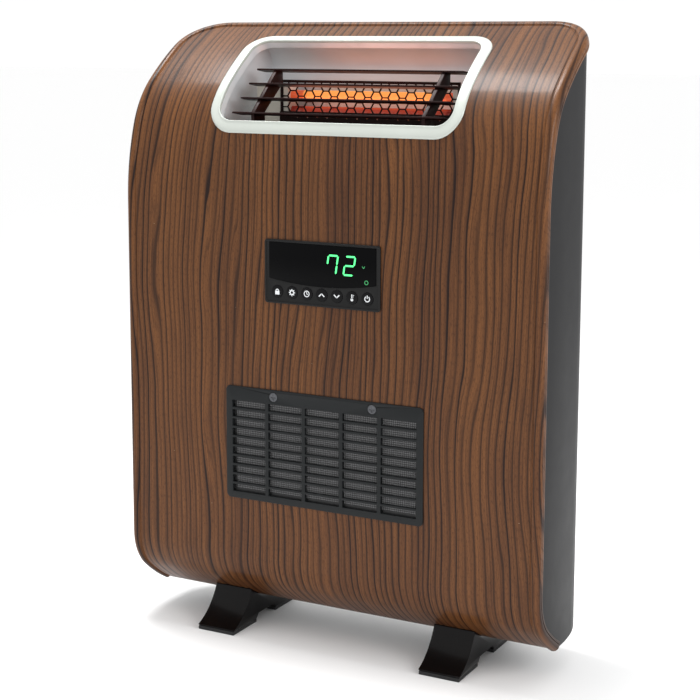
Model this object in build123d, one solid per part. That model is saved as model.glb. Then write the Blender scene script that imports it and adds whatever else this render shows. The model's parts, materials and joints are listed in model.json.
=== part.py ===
from build123d import *
from math import acos, asin, cos, degrees, radians, sin, sqrt
import os

# A slim free-standing infrared heater: wood-grain front shell that bends back over the top,
# grey tub behind it, slanted warm-air outlet with four louvres, display with seven keys,
# intake grille low on the front, and two runner feet.
# Millimetres. +Z up, -Y to the front, +X to the viewer's right. The origin is on the floor,
# under the middle of the overall box.

# ---- overall sizes ----
width = 480.0
depth = 144.0
height = 658.0
belly_z = 31.0            # underside of the casing above the floor

# ---- casing ----
skin = 3.0                # front shell wall
tub_wall = 3.0
tub_inset = 1.0           # the tub's sides lie this far inside the front shell's edge
seam = 0.2                # gap between parts that meet along a curved face
bead_proud = 2.0          # raised bead round the front shell's edge
bead_width = 9.0
corner_r = 50.0           # upright rear corners of the casing, in plan
bead_round = 4.0          # rounding of the bead's outer corner
belly_r = 36.0            # round between the belly and the back
belly_reach = 24.0        # the belly's rounded form stands this far outside the tub's sides
belly_corner_r = 72.0
top_bends = [(260.0, 18.0), (105.0, 48.0), (350.0, None)]     # radius, lean where it ends
toe_bends = [(56.0, 49.0), (220.0, None)]
toe_z = 99.0              # where the front starts to curve in towards the floor

# ---- warm-air outlet ----
outlet_half = 144.5       # half the trim's outer width
outlet_foot_z = 541.0     # trim's outer lower edge, on the casing's surface
outlet_head_z = 640.0     # trim's outer upper edge
trim_width = 11.0
trim_corner_r = 28.0
trim_proud = 1.8
trim_depth = 4.5          # how far the trim reaches in from the surface
fit_gap = 0.2

# ---- reflector chamber ----
sheet = 1.2               # folded sheet metal
chamber_half = 136.0
chamber_floor_z = 545.0
chamber_roof_z = 633.0
chamber_back_y = 62.0
chamber_round = 28.0
chamber_lip = 6.0         # the sheet stops this far behind the casing's surface
air_ledge = 12.0          # the air window in the floor is this much narrower than the duct
hole_pitch = 12.0
hole_r = 1.3
hole_side = 9             # small holes each side of the middle one
hole_rows = (14.0, 26.0)  # rows of small holes behind the casing's surface

# ---- louvres ----
louvre_count = 4
louvre_half = 121.0
louvre_depth = 20.0
louvre_thick = 1.8
louvre_corner = 3.0
louvre_tilt = -8.0        # back edge lower than the front edge
louvre_top = (2.5, 605.4)         # front edge of the highest one, in Y and Z
louvre_step = (-16.7, -14.6)
bracket_x = 98.0
bracket_wide = 4.0
bracket_gap = 0.05
bracket_in = 5.0          # behind the louvres' front edges
bracket_head = 9.0        # depth of the comb's top
bracket_foot = 22.0       # depth of the comb's foot

# ---- infrared elements ----
tube_r = 6.0
tube_wall = 1.0
tube_half = 106.0
tube_y = 40.0
tube_zs = {"upper": 577.0, "lower": 560.0}
coil_r = 3.2
coil_half = 82.0
lead_r = 1.0
cap_wide = 9.0
cap_size = (21.0, 42.0)
guard_y = 28.0
guard_half = 106.0
guard_foot_z = 548.0
guard_head_z = 594.0
guard_thick = 1.2
guard_strand = 1.3
cell_side = 6.7
guard_rim = 3.0

# ---- air duct, blower and mounting plate ----
plate_front_y = 66.8
plate_half = 180.0
plate_foot_z = 112.0
plate_head_z = 570.0
plate_hole_x = 150.0
plate_hole_zs = (400.0, 500.0)
plate_hole_r = 14.0
duct_half = 110.0
duct_front_y = -8.0
duct_foot_z = 372.0
fan_y = 26.0
fan_z = 322.0
fan_r = 30.0
fan_half = 100.0
fan_blades = 24
fan_gap = 3.0
fan_disc = 1.5
housing_front_y = -12.0
housing_foot_z = 282.0
housing_half = 108.0
housing_end = 2.0
throat_ahead = 6.0        # the throat opens this far in front of the wheel's axis
inlet_sill = 6.0
inlet_drop = 4.0
blade_size = (1.0, 8.0)
blade_in = 4.5            # middle of a blade inside the wheel's rim
blade_lean = 25.0
shaft_r = 3.0
shaft_gap = 0.05
bush_r = 7.0
bush_out = 4.0            # the bush stands out of the housing's end this far
motor_boss_r = 9.0
motor_r = 28.0
motor_long = 40.0
motor_boss = 4.0

# ---- display and keys ----
panel_half = 66.5
panel_foot_z = 369.0
panel_head_z = 435.0
panel_corner = 3.0
panel_rim = 2.0
panel_inner_corner = 1.0
panel_plug = 4.0          # the part behind the flange is this much smaller all round
key_count = 7
key_pitch = 17.3
key_r = 6.5
key_gap = 0.1
key_z = 381.2
key_proud = 0.5
key_travel = 1.0
key_flange = 1.0
key_flange_thick = 1.7
key_rest = 0.3            # gap between the flange and the bezel, key at rest
key_spare = 0.2           # gap left over the switch with the key pressed in
stem_r = 2.0
window_half = 61.5
window_foot_z = 389.5
window_bow = 5.5
window_thick = 0.8
window_proud = 0.4
window_gap = 0.1
window_ledge = 4.0
digit_high = 21.5
digit_wide = 12.5
digit_bar = 2.6
digit_pitch = 19.4
digit_x = 12.4            # centre of the first digit
digit_z = 413.0
digit_gap = 0.3
digit_proud = 0.4
lit_segments = ("abc", "abged")
module_xs = (0.0, 44.0)
module_half = 12.5
lamp_spots = ((47.5, digit_z, 1.2), (50.8, 397.5, 2.2))     # X, Z and radius
lamp_proud = 0.2
board_y = -55.0
board_thick = 1.6
board_half = 61.0
board_short = 4.5
board_post_x = 56.0
board_post_zs = (396.0, 428.0)
board_post_r = 2.4
switch_size = 6.0
switch_high = 3.5

# ---- intake grille and filter ----
grille_half = 115.0
grille_foot_z = 156.0
grille_head_z = 277.0
grille_corner = 5.0
grille_proud = 1.5
grille_plug = 5.0
grille_back = 2.5
slot_columns = 5
slot_rows = 10
slot_pitch_z = 10.1
slot_high = 7.9
column_rib = 4.0
slot_side = 7.5
slot_foot = 7.0
screw_head_r = 4.8
screw_r = 2.0
screw_recess_r = 5.2
screw_recess = 1.2
grille_screw_x = 57.5
grille_screw_z = 269.5
slot_cross = (3.2, 0.5, 0.6)      # cross recess: half length, half width, depth left under it
screw_head_high = 1.1
filter_thick = 4.0
carrier_thick = 6.0
carrier_rim = 10.0
carrier_head = 2.0        # extra height of the carrier's top rail, for the screws
carrier_lap = (8.0, 6.0)   # how far the carrier laps the grille, sideways and in height

# ---- feet ----
foot_x = 133.0
foot_wide = 46.0
foot_half_long = 69.0
toe_high = 5.5
pad_thick = 4.0
pad_in = 0.6
pad_long = 48.0
foot_arch_z = 9.0
foot_head_half = 30.0
top_of_sweep = 43.0               # the sweep runs on inside the casing's outline
foot_sweep = (50.5, 15.5)         # middle of the hollow sweep, in Y and Z
foot_chamfer = 1.5
foot_arch_run = 4.0
foot_seat = 4.0                   # depth of the screw seat above the arch
foot_screw_ys = (-12.0, 20.0)

# ---- rear ----
panel_steel = 1.5         # rear cover
cover_half = 178.0
cover_foot_z = 112.0
cover_head_z = 572.0
window_edge = 12.0        # ledge that the rear cover and the mounting plate share
gland_x = -120.0
rear_fit_z = 92.0         # height of the cord inlet and the rocker switch
gland_r = 9.0
gland_bore_r = 4.0
gland_long = 14.0
gland_lip = 2.2
rocker_x = 120.0
rocker_size = (12.0, 19.0)
rocker_rim = 2.5
rocker_deep = 16.0
rocker_well = 10.0
rocker_axis_in = 5.0
rocker_lip = 0.7
rocker_gaps = (0.3, 0.9)  # beside the key and at its two ends
rocker_under = 1.5        # the key's body reaches this far behind its axis
rocker_sunk = 1.2
pin_r = 1.2
pin_long = 1.2

# ---- posts, lugs and small screws ----
boss_xs = (-214.0, 214.0)
boss_zs = (150.0, 310.0, 460.0)
boss_r = 4.0
boss_long = 16.0
boss_solid = 8.0          # length of the post left solid behind the front
lug_half = 8.0
lug_thick = 2.5
small_head_r = 3.6
small_head_high = 2.2

# ---- electrics: boxes as X, Y and Z from and to ----
board_at = (-176.0, -118.0, 50.0, 51.6, 190.0, 320.0)
relay_zs = (215.0, 245.0)
relay_at = (-170.0, -142.0, 32.0, 50.0)
relay_half_high = 7.0
transformer_at = (-168.0, -130.0, 22.0, 50.0, 268.0, 300.0)
standoff_r = 3.0
standoff_in = 5.0
cutout_z = 500.0
cutout_r = 8.0
cutout_high = 6.0
cutout_ear = (14.0, 2.0, 4.0)
tilt_at = (120.0, 146.0, 44.0, plate_front_y, 210.0, 236.0)
terminals_at = (-150.0, -90.0, 48.0, plate_front_y, 120.0, 140.0)
terminal_xs = (-140.0, -120.0, -100.0)
terminal_r = 3.5
terminal_deep = 6.0
sensor_size = (18.0, 6.0, 12.0)
sensor_z = 206.0

front_y = -depth / 2 + bead_proud
back_y = depth / 2
tub_back_y = back_y - tub_inset
tub_inner_y = tub_back_y - tub_wall
past = 1.0                # cutting tools run this far past the faces they cut

boss_spots = [(x, z) for x in boss_xs for z in boss_zs]
boss_end_y = front_y + boss_long
edge_in = window_edge / 2
cover_edge_x = cover_half - edge_in
cover_edge_zs = (cover_foot_z + edge_in, cover_head_z - edge_in)
cover_screw_spots = [(x, z) for x in (-cover_edge_x, 0.0, cover_edge_x) for z in cover_edge_zs]
cover_screw_spots += [(x, sum(cover_edge_zs) / 2) for x in (-cover_edge_x, cover_edge_x)]

key_names = ["lock", "light", "timer", "up", "down", "mode", "power"]
key_xs = [(k - (key_count - 1) / 2) * key_pitch for k in range(key_count)]
face_y = front_y - bead_proud / 2       # the recessed face between the bezel's rims
bezel_back_y = front_y + skin - 1.0
window_head_z = panel_head_z - panel_rim - 1.0
module_front_y = face_y + window_thick + 0.5

filter_y = front_y + grille_back + 0.3
carrier_front_y = front_y + skin
carrier_back_y = carrier_front_y + carrier_thick
screw_seat_y = front_y - grille_proud + screw_recess
rocker_axis_y = tub_back_y - rocker_axis_in
pad_inner_y = foot_half_long - pad_in - pad_long


# ---- outline helpers ----
def on_bend(centre, radius, lean):
    """Point of an arc whose outward side leans back by lean degrees from facing the front."""
    return centre[0] - radius * cos(radians(lean)), centre[1] + radius * sin(radians(lean))


def next_centre(centre, radius, lean, next_radius):
    """Centre of the arc that follows on smoothly at that lean."""
    y, z = on_bend(centre, radius, lean)
    return y + next_radius * cos(radians(lean)), z - next_radius * sin(radians(lean))


def chain(start, bends, side):
    """(centre, radius, lean from, lean to) of each arc; side is 1 going up, -1 going down."""
    found = []
    lean = 0.0
    centre = None
    for radius, end in bends:
        if centre is None:
            centre = (start[0] + radius, start[1])
        else:
            centre = next_centre(centre, found[-1][1], lean, radius)
        found.append((centre, radius, lean, side * end if end is not None else None))
        lean = found[-1][3]
    return found


def top_rise():
    """Height gained from the start of the top bends to the bead's crest at the back."""
    centre, radius, _, _ = chain((front_y, 0.0), top_bends, 1)[-1]
    reach = radius + bead_proud
    return centre[1] + sqrt(reach ** 2 - (centre[0] - back_y) ** 2)


brow_z = height - top_rise()      # where the front starts to bend back
TOP = chain((front_y, brow_z), top_bends, 1)
TOE = chain((front_y, toe_z), toe_bends, -1)


def surface(z):
    """Y of the casing's front surface at height z, and its lean there."""
    for centre, radius, lean, end in TOP:
        angle = asin(min(1.0, max(0.0, (z - centre[1]) / radius)))
        if end is None or angle <= radians(end):
            return centre[0] - radius * cos(angle), angle
    return front_y, 0.0


def bend_edges(arcs, inset):
    """Edges of the arcs, moved square inwards by inset, from the front line outwards."""
    edges = []
    for centre, radius, a, b in arcs:
        r = radius - inset
        ends = [on_bend(centre, r, lean) for lean in (a, (a + b) / 2, b)]
        edges.append(ThreePointArc(*[(0, y, z) for y, z in ends]))
    return edges


def outline(inset, end_y, end_z):
    """Side view of the casing as a face in the YZ plane, inset from its front surface."""
    centre, radius, lean, _ = TOP[-1]
    top_end = acos((centre[0] - end_y) / (radius - inset))
    top = bend_edges(TOP[:-1] + [(centre, radius, lean, degrees(top_end))], inset)
    centre, radius, lean, _ = TOE[-1]
    toe_end = -asin((centre[1] - end_z) / (radius - inset))
    toe = bend_edges(TOE[:-1] + [(centre, radius, lean, degrees(toe_end))], inset)
    crest = top[-1] @ 1
    tip = toe[-1] @ 1
    straight = Line(toe[0] @ 0, top[0] @ 0)
    rear = Polyline(crest, (0, end_y, end_z), tip)
    return make_face(Wire(top + toe + [straight] + rear.edges()))


def prism(face, half):
    """A YZ face made solid from -half to +half in X."""
    return extrude(face, amount=half, dir=(1, 0, 0), both=True)


def plan(inset, reach):
    """Casing seen from above, inset at the sides and back; reach lengthens it to the front."""
    half = width / 2 - inset
    near = -depth / 2 - reach
    far = back_y - inset
    shape = Pos(0, (near + far) / 2) * Rectangle(2 * half, far - near)
    rear = shape.vertices().group_by(Axis.Y)[-1]
    return fillet(rear, corner_r - inset)


def column(inset, reach=0.0):
    """The plan as an upright solid, taller than the casing."""
    return extrude(plan(inset, reach), amount=height + past)


def block(x0, x1, y0, y1, z0, z1):
    """Box between two corners."""
    return Pos((x0 + x1) / 2, (y0 + y1) / 2, (z0 + z1) / 2) * Box(x1 - x0, y1 - y0, z1 - z0)


def front_plate(half, z0, z1, corner, y0, y1):
    """Upright rounded plate centred on X, between y0 and y1."""
    sketch = Plane.XZ * Pos(0, (z0 + z1) / 2) * RectangleRounded(2 * half, z1 - z0, corner)
    return Pos(0, y1, 0) * extrude(sketch, amount=y1 - y0)


def rod_x(r, x0, x1, y, z):
    """Round bar along X."""
    return Pos((x0 + x1) / 2, y, z) * Rot(0, 90, 0) * Cylinder(r, x1 - x0)


def rod_y(r, y0, y1, x, z):
    """Round bar along Y."""
    return Pos(x, (y0 + y1) / 2, z) * Rot(90, 0, 0) * Cylinder(r, y1 - y0)


def rod_z(r, z0, z1, x, y):
    """Round bar along Z."""
    return Pos(x, y, (z0 + z1) / 2) * Cylinder(r, z1 - z0)


# ---- outlet geometry shared by the shell, the trim and the chamber ----
foot_surface, _ = surface(outlet_foot_z)
head_surface, _ = surface(outlet_head_z)
outlet_run = sqrt((head_surface - foot_surface) ** 2 + (outlet_head_z - outlet_foot_z) ** 2)
slope_y = (head_surface - foot_surface) / outlet_run
slope_z = (outlet_head_z - outlet_foot_z) / outlet_run
outlet_plane = Plane(
    origin=(0, (foot_surface + head_surface) / 2, (outlet_foot_z + outlet_head_z) / 2),
    x_dir=(1, 0, 0),
    z_dir=(0, -slope_z, slope_y),
)


def outlet_prism(inset):
    """Rounded slanted shaft through the casing's brow, smaller by inset all round."""
    sketch = RectangleRounded(
        2 * (outlet_half - inset), outlet_run - 2 * inset, trim_corner_r - inset
    )
    return extrude(outlet_plane * sketch, amount=depth / 2, both=True)


# ---- casing ----
def front_shell():
    whole = prism(outline(0.0, back_y, belly_z), width / 2)
    bead = prism(outline(-bead_proud, back_y, belly_z), width / 2)
    bead -= column(bead_width, reach=bead_proud)
    outer = (whole + bead) & column(0.0, reach=bead_proud)
    outer = fillet([edge for edge in outer.edges() if on_rim(edge)], bead_round)
    shell = outer - prism(outline(skin, back_y + past, belly_z - past), width / 2 + past)
    shell -= outlet_prism(-fit_gap)
    for half, foot_z, head_z, plug, corner in (
        (panel_half, panel_foot_z, panel_head_z, panel_plug, panel_corner),
        (grille_half, grille_foot_z, grille_head_z, grille_plug, grille_corner),
    ):
        inset = plug - fit_gap
        shell -= front_plate(half - inset, foot_z + inset, head_z - inset, corner,
                             front_y - past, front_y + skin + past)
    return shell + shell_bosses()


def on_rim(edge):
    """True for the bead's outer corner: up each side, round the rear corners and along the back."""
    at = edge.center()
    beside = abs(abs(at.X) - width / 2) < past
    if beside:
        return edge.geom_type == GeomType.CIRCLE or at.Y < front_y
    crown = height - 2 * bead_proud - past
    return at.Z > height - past or (at.Z > crown and abs(at.X) > width / 2 - corner_r / 3)


def shell_bosses():
    """Posts behind the front that the tub's lugs are screwed to."""
    posts = Part()
    for x, z in boss_spots:
        posts += rod_y(boss_r, front_y + skin - seam, boss_end_y, x, z)
        posts -= rod_y(screw_r, front_y + boss_solid, boss_end_y, x, z)
    return posts


def belly_form(wall):
    """Large upright form with a rounded foot that shapes the tub's belly, inset by wall."""
    half = width / 2 - tub_inset + belly_reach - wall
    near, far = -depth, tub_back_y - wall
    shape = Pos(0, (near + far) / 2) * Rectangle(2 * half, far - near)
    shape = fillet(shape.vertices().group_by(Axis.Y)[-1], belly_corner_r - wall)
    form = Pos(0, 0, belly_z + wall) * extrude(shape, amount=height)
    rim = [edge for edge in form.edges().group_by(Axis.Z)[0] if edge.center().Y > near + 1]
    return fillet(rim, belly_r - wall)


def rear_tub():
    """Sides, back and belly, under the front shell's skin."""
    body = prism(outline(skin + seam, tub_back_y, belly_z), width / 2) & column(tub_inset)
    tub = (body & belly_form(0.0)) - (column(tub_inset + tub_wall) & belly_form(tub_wall))
    half = cover_half - window_edge
    tub -= block(-half, half, tub_inner_y - past, back_y,
                 cover_foot_z + window_edge, cover_head_z - window_edge)
    tub -= block(-cover_half - fit_gap, cover_half + fit_gap, tub_back_y - panel_steel, back_y,
                 cover_foot_z - fit_gap, cover_head_z + fit_gap)
    tub -= rod_y(gland_r, tub_inner_y - past, back_y, gland_x, rear_fit_z)
    tub -= rocker_box(rocker_rim - 1.0, tub_inner_y - past, back_y)
    for x, z in boss_spots:
        tub += tub_lug(x, z)
    return tub


def tub_lug(x, z):
    """Ear on the tub's side wall, behind one of the shell's posts."""
    side = 1 if x > 0 else -1
    inner_x, wall_x = x - side * lug_half, side * (width / 2 - tub_inset - tub_wall / 3)
    back = boss_end_y + lug_thick
    lug = block(min(inner_x, wall_x), max(inner_x, wall_x), boss_end_y, back, z - lug_half, z + lug_half)
    return lug - rod_y(screw_r, boss_end_y - past, back + past, x, z)


def rocker_box(grow, y0, y1):
    """The rocker switch's opening, grown all round."""
    half_x, half_z = rocker_size[0] / 2 + grow, rocker_size[1] / 2 + grow
    return block(rocker_x - half_x, rocker_x + half_x, y0, y1, rear_fit_z - half_z, rear_fit_z + half_z)


def rear_cover():
    cover = block(-cover_half, cover_half, tub_back_y - panel_steel, tub_back_y,
                  cover_foot_z, cover_head_z)
    for x, z in cover_screw_spots:
        cover -= rod_y(screw_r, tub_inner_y, back_y, x, z)
    return cover


def cover_screws():
    screws = Part()
    for x, z in cover_screw_spots:
        screws += rod_y(small_head_r, tub_back_y, back_y, x, z)
        screws += rod_y(screw_r, tub_back_y - panel_steel, tub_back_y, x, z)
    return screws


def lug_screws():
    screws = Part()
    lug_back = boss_end_y + lug_thick
    for x, z in boss_spots:
        screws += rod_y(small_head_r, lug_back, lug_back + small_head_high, x, z)
        screws += rod_y(screw_r, front_y + boss_solid + past, lug_back, x, z)
    return screws


# ---- outlet ----
def outlet_trim():
    band = prism(outline(-trim_proud, back_y, belly_z), outlet_half + past)
    band -= prism(outline(trim_depth, back_y + past, belly_z - past), outlet_half + 2 * past)
    return band & (outlet_prism(0.0) - outlet_prism(trim_width))


def chamber_section(grow):
    """Side view of the reflector chamber, its sheet grown by grow at the back and roof."""
    back, roof = chamber_back_y + grow, chamber_roof_z + grow
    turn = chamber_round + grow
    bow = turn * (1 - sqrt(0.5))
    edges = Polyline(
        (0, back, roof - turn), (0, back, chamber_floor_z), (0, -depth, chamber_floor_z),
        (0, -depth, roof), (0, back - turn, roof),
    ).edges()
    edges.append(ThreePointArc((0, back - turn, roof), (0, back - bow, roof - bow), (0, back, roof - turn)))
    return make_face(Wire(edges))


def reflector():
    sheet_box = prism(chamber_section(sheet), chamber_half + sheet)
    sheet_box -= prism(chamber_section(0.0), chamber_half)
    return sheet_box & prism(outline(chamber_lip, back_y, belly_z), width)


def chamber_floor():
    """Perforated floor under the elements, with an air window over the duct."""
    y, _ = surface(chamber_floor_z)
    floor = block(-chamber_half, chamber_half, y + chamber_lip + 1, chamber_back_y + sheet,
                  chamber_floor_z - sheet, chamber_floor_z)
    low, high = chamber_floor_z - sheet - past, chamber_floor_z + past
    floor -= block(-duct_half, duct_half, duct_front_y + sheet + air_ledge,
                   plate_front_y - sheet - air_ledge, low, high)
    for row in hole_rows:
        for k in range(-hole_side, hole_side + 1):
            floor -= rod_z(hole_r, low, high, k * hole_pitch, y + row)
    return floor


def louvre_front(k):
    """Front edge of louvre k in Y and Z, counted from the top."""
    return louvre_top[0] + k * louvre_step[0], louvre_top[1] + k * louvre_step[1]


def louvre(k):
    y, z = louvre_front(k)
    blade = RectangleRounded(2 * louvre_half, louvre_depth, louvre_corner)
    blade = Pos(0, louvre_depth / 2, -louvre_thick / 2) * extrude(blade, amount=louvre_thick)
    return Pos(0, y, z) * Rot(louvre_tilt, 0, 0) * blade


def louvre_bracket(side):
    """Comb that stands on the chamber floor and holds the four louvres in its slots."""
    y0, z0 = louvre_front(louvre_count - 1)
    y1, z1 = louvre_front(0)
    near_low, near_high = y0 + bracket_in, y1 + bracket_in
    comb = make_face(Polyline(
        (0, near_low, chamber_floor_z), (0, near_low, z0), (0, near_high, z1 + louvre_thick),
        (0, near_high + bracket_head, z1 + louvre_thick),
        (0, near_high + bracket_head, z1 + louvre_step[1]),
        (0, near_low + bracket_foot, z0), (0, near_low + bracket_foot, chamber_floor_z),
        (0, near_low, chamber_floor_z),
    ))
    plate = Pos(side * bracket_x, 0, 0) * prism(comb, bracket_wide / 2)
    wide = bracket_wide + 2 * past
    for k in range(louvre_count):
        y, z = louvre_front(k)
        slot = Box(wide, louvre_depth + 2 * bracket_gap, louvre_thick + 2 * bracket_gap)
        plate -= Pos(side * bracket_x, y, z) * Rot(louvre_tilt, 0, 0) * Pos(0, louvre_depth / 2, 0) * slot
    low = -louvre_thick / 2 - bracket_gap
    above = Pos(0, 0, low + louvre_depth / 2) * Box(wide, 4 * louvre_depth, louvre_depth)
    return plate - Pos(side * bracket_x, y1, z1) * Rot(louvre_tilt, 0, 0) * above


# ---- infrared elements ----
def element_guard():
    """Flat honeycomb guard in front of the elements."""
    mid = (guard_foot_z + guard_head_z) / 2
    high = guard_head_z - guard_foot_z
    cell_high = cell_side * sqrt(3)
    inner_x, inner_z = guard_half - guard_rim, high / 2 - guard_rim
    opening = Rectangle(2 * inner_x, 2 * inner_z)
    cells = Sketch()
    columns = int(inner_x / (1.5 * cell_side)) + 1
    rows = int(inner_z / cell_high) + 1
    hexagon = RegularPolygon((cell_side - guard_strand / sqrt(3)), 6)
    for i in range(-columns, columns + 1):
        for j in range(-rows, rows + 1):
            shift = cell_high / 2 if i % 2 else 0.0
            cells += Pos(i * 1.5 * cell_side, j * cell_high + shift) * hexagon
    sheet_metal = Rectangle(2 * guard_half, high) - (cells & opening)
    return Pos(0, guard_y + guard_thick, mid) * extrude(Plane.XZ * sheet_metal, amount=guard_thick)


def quartz_tube(z):
    bore = rod_x(tube_r - tube_wall, -tube_half, tube_half, tube_y, z)
    return rod_x(tube_r, -tube_half, tube_half, tube_y, z) - bore


def heating_coil(z):
    """Wound element as its outer form, with the straight lead to each end cap."""
    end = tube_half + cap_wide / 3
    return rod_x(coil_r, -coil_half, coil_half, tube_y, z) + rod_x(lead_r, -end, end, tube_y, z)


def end_cap(side):
    """Ceramic block that carries both tubes at one end and bolts to the chamber wall."""
    mid = sum(tube_zs.values()) / len(tube_zs)
    x0, x1 = side * (tube_half - cap_wide), side * chamber_half
    cap = block(min(x0, x1), max(x0, x1), tube_y - cap_size[0] / 2, tube_y + cap_size[0] / 2,
                mid - cap_size[1] / 2, mid + cap_size[1] / 2)
    for z in tube_zs.values():
        end = side * tube_half
        cap -= rod_x(tube_r, min(x0, end), max(x0, end), tube_y, z)
        tip = side * (tube_half + cap_wide / 3)
        cap -= rod_x(lead_r, min(end, tip), max(end, tip), tube_y, z)
    return cap


# ---- air path ----
def air_duct():
    outer = block(-duct_half - sheet, duct_half + sheet, duct_front_y, plate_front_y,
                  duct_foot_z, chamber_floor_z - sheet)
    return outer - block(-duct_half, duct_half, duct_front_y + sheet, plate_front_y - sheet,
                         duct_foot_z - past, chamber_floor_z + past)


def blower_housing():
    """Cross-flow housing: round chamber, throat up to the duct, inlet low at the front."""
    body = block(-housing_half, housing_half, housing_front_y, plate_front_y,
                 housing_foot_z, duct_foot_z)
    inner = housing_half - housing_end
    swing = fan_r + fan_gap
    body -= rod_x(swing, -inner, inner, fan_y, fan_z)
    body -= block(-inner, inner, fan_y - throat_ahead, fan_y + swing, fan_z, duct_foot_z)
    body -= block(-inner, inner, housing_front_y, fan_y, housing_foot_z + inlet_sill, fan_z - inlet_drop)
    body -= rod_x(bush_r, -housing_half, -inner, fan_y, fan_z)
    return body - rod_x(shaft_r + past, inner, housing_half, fan_y, fan_z)


def blower_wheel():
    wheel = Part()
    for x in (-fan_half, 0.0, fan_half):
        wheel += rod_x(fan_r, x - fan_disc / 2, x + fan_disc / 2, fan_y, fan_z)
    blade = Box(2 * fan_half, *blade_size)
    for k in range(fan_blades):
        turn = Rot(360.0 * k / fan_blades, 0, 0) * Pos(0, 0, fan_r - blade_in) * Rot(blade_lean, 0, 0)
        wheel += Pos(0, fan_y, fan_z) * turn * blade
    return wheel - rod_x(shaft_r, -fan_half - fan_disc, fan_half + fan_disc, fan_y, fan_z)


def blower_shaft():
    return rod_x(shaft_r, -housing_half - bush_out + past,
                 housing_half + motor_boss + motor_long / 2, fan_y, fan_z)


def blower_bush():
    inner = housing_half - housing_end
    outer = -housing_half - bush_out
    ring = rod_x(bush_r, outer, -inner, fan_y, fan_z)
    return ring - rod_x(shaft_r + shaft_gap, outer - past, -inner + past, fan_y, fan_z)


def blower_motor():
    x0 = housing_half
    x1 = x0 + motor_boss
    motor = rod_x(motor_boss_r, x0, x1, fan_y, fan_z) + rod_x(motor_r, x1, x1 + motor_long, fan_y, fan_z)
    return motor - rod_x(shaft_r + shaft_gap, x0 - past, x1 + motor_long / 2 + past, fan_y, fan_z)


def mounting_plate():
    plate = block(-plate_half, plate_half, plate_front_y, tub_inner_y, plate_foot_z, plate_head_z)
    for x in (-plate_hole_x, plate_hole_x):
        for z in plate_hole_zs:
            plate -= rod_y(plate_hole_r, plate_front_y - past, tub_inner_y + past, x, z)
    return plate


# ---- display ----
def window_shape(grow):
    """Display lens outline: straight top and sides, lower edge bowed down in the middle."""
    half = window_half + grow
    foot, head = window_foot_z - grow, window_head_z + grow
    ends = foot + window_bow
    edges = Polyline((half, ends), (half, head), (-half, head), (-half, ends)).edges()
    edges.append(ThreePointArc((-half, ends), (0, foot), (half, ends)))
    return Plane.XZ * make_face(Wire(edges))


def display_bezel():
    bezel = front_plate(panel_half, panel_foot_z, panel_head_z, panel_corner,
                        front_y - bead_proud, front_y)
    bezel += front_plate(panel_half - panel_plug, panel_foot_z + panel_plug,
                         panel_head_z - panel_plug, panel_corner, front_y, bezel_back_y)
    bezel -= front_plate(panel_half - panel_rim, panel_foot_z + panel_rim,
                         panel_head_z - panel_rim, panel_inner_corner, front_y - bead_proud, face_y)
    bezel -= Pos(0, face_y + window_thick, 0) * extrude(window_shape(window_gap), amount=window_thick + past)
    opening = window_half - window_ledge
    bezel -= block(-opening, opening, face_y, bezel_back_y + past,
                   window_foot_z + window_bow, window_head_z - window_ledge)
    for x in key_xs:
        bezel -= rod_y(key_r + key_gap, face_y - past, bezel_back_y + past, x, key_z)
    for x in (-board_post_x, board_post_x):
        for z in board_post_zs:
            bezel += rod_y(board_post_r, bezel_back_y, board_y, x, z)
    return bezel


def display_window():
    return Pos(0, face_y + window_thick, 0) * extrude(window_shape(0.0), amount=window_thick + window_proud)


def segment(name):
    """One bar of a seven-segment digit, in the digit's own XZ frame."""
    half_w, half_h = (digit_wide - digit_bar) / 2, (digit_high - digit_bar) / 2
    if name in "agd":
        z = {"a": half_h, "g": 0.0, "d": -half_h}[name]
        return Pos(0, z) * Rectangle(2 * half_w - digit_bar - digit_gap, digit_bar)
    x = half_w if name in "bc" else -half_w
    z = half_h / 2 if name in "bf" else -half_h / 2
    return Pos(x, z) * Rectangle(digit_bar, half_h - digit_gap)


def display_digits():
    """The lit bars of the two digits, on the front of the display module."""
    bars = Part()
    for k, names in enumerate(lit_segments):
        for name in names:
            bar = Plane.XZ * (Pos(digit_x + k * digit_pitch, digit_z) * segment(name))
            bars += Pos(0, module_front_y, 0) * extrude(bar, amount=digit_proud)
    return bars


def display_module():
    return block(*module_xs, module_front_y, board_y, digit_z - module_half, digit_z + module_half)


def status_lamps():
    """Unit mark at the right of the digits and the ring lamp below it."""
    lamps = Part()
    for x, z, r in lamp_spots:
        lamps += rod_y(r, module_front_y - lamp_proud, board_y, x, z)
    return lamps


def control_board():
    return block(-board_half, board_half, board_y, board_y + board_thick,
                 panel_foot_z + board_short, panel_head_z - board_short)


def key_switches():
    """Seven small push switches on the board, one behind each key."""
    caps = Part()
    half = switch_size / 2
    for x in key_xs:
        caps += block(x - half, x + half, board_y - switch_high, board_y, key_z - half, key_z + half)
    return caps


def key(x):
    flange_back = bezel_back_y + key_rest + key_flange_thick
    cap = rod_y(key_r, face_y - key_proud, flange_back, x, key_z)
    cap += rod_y(key_r + key_flange, bezel_back_y + key_rest, flange_back, x, key_z)
    stem_end = board_y - switch_high - key_travel - key_spare
    return cap + rod_y(stem_r, flange_back, stem_end, x, key_z)


# ---- intake ----
def grille_slots():
    """Five columns of ten slots."""
    inner = 2 * grille_half - 2 * slot_side
    wide = (inner - (slot_columns - 1) * column_rib) / slot_columns
    slots = Sketch()
    for i in range(slot_columns):
        x = (i - (slot_columns - 1) / 2) * (wide + column_rib)
        for j in range(slot_rows):
            z = grille_foot_z + slot_foot + slot_high / 2 + j * slot_pitch_z
            slots += Pos(x, z) * Rectangle(wide, slot_high)
    return slots


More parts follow.
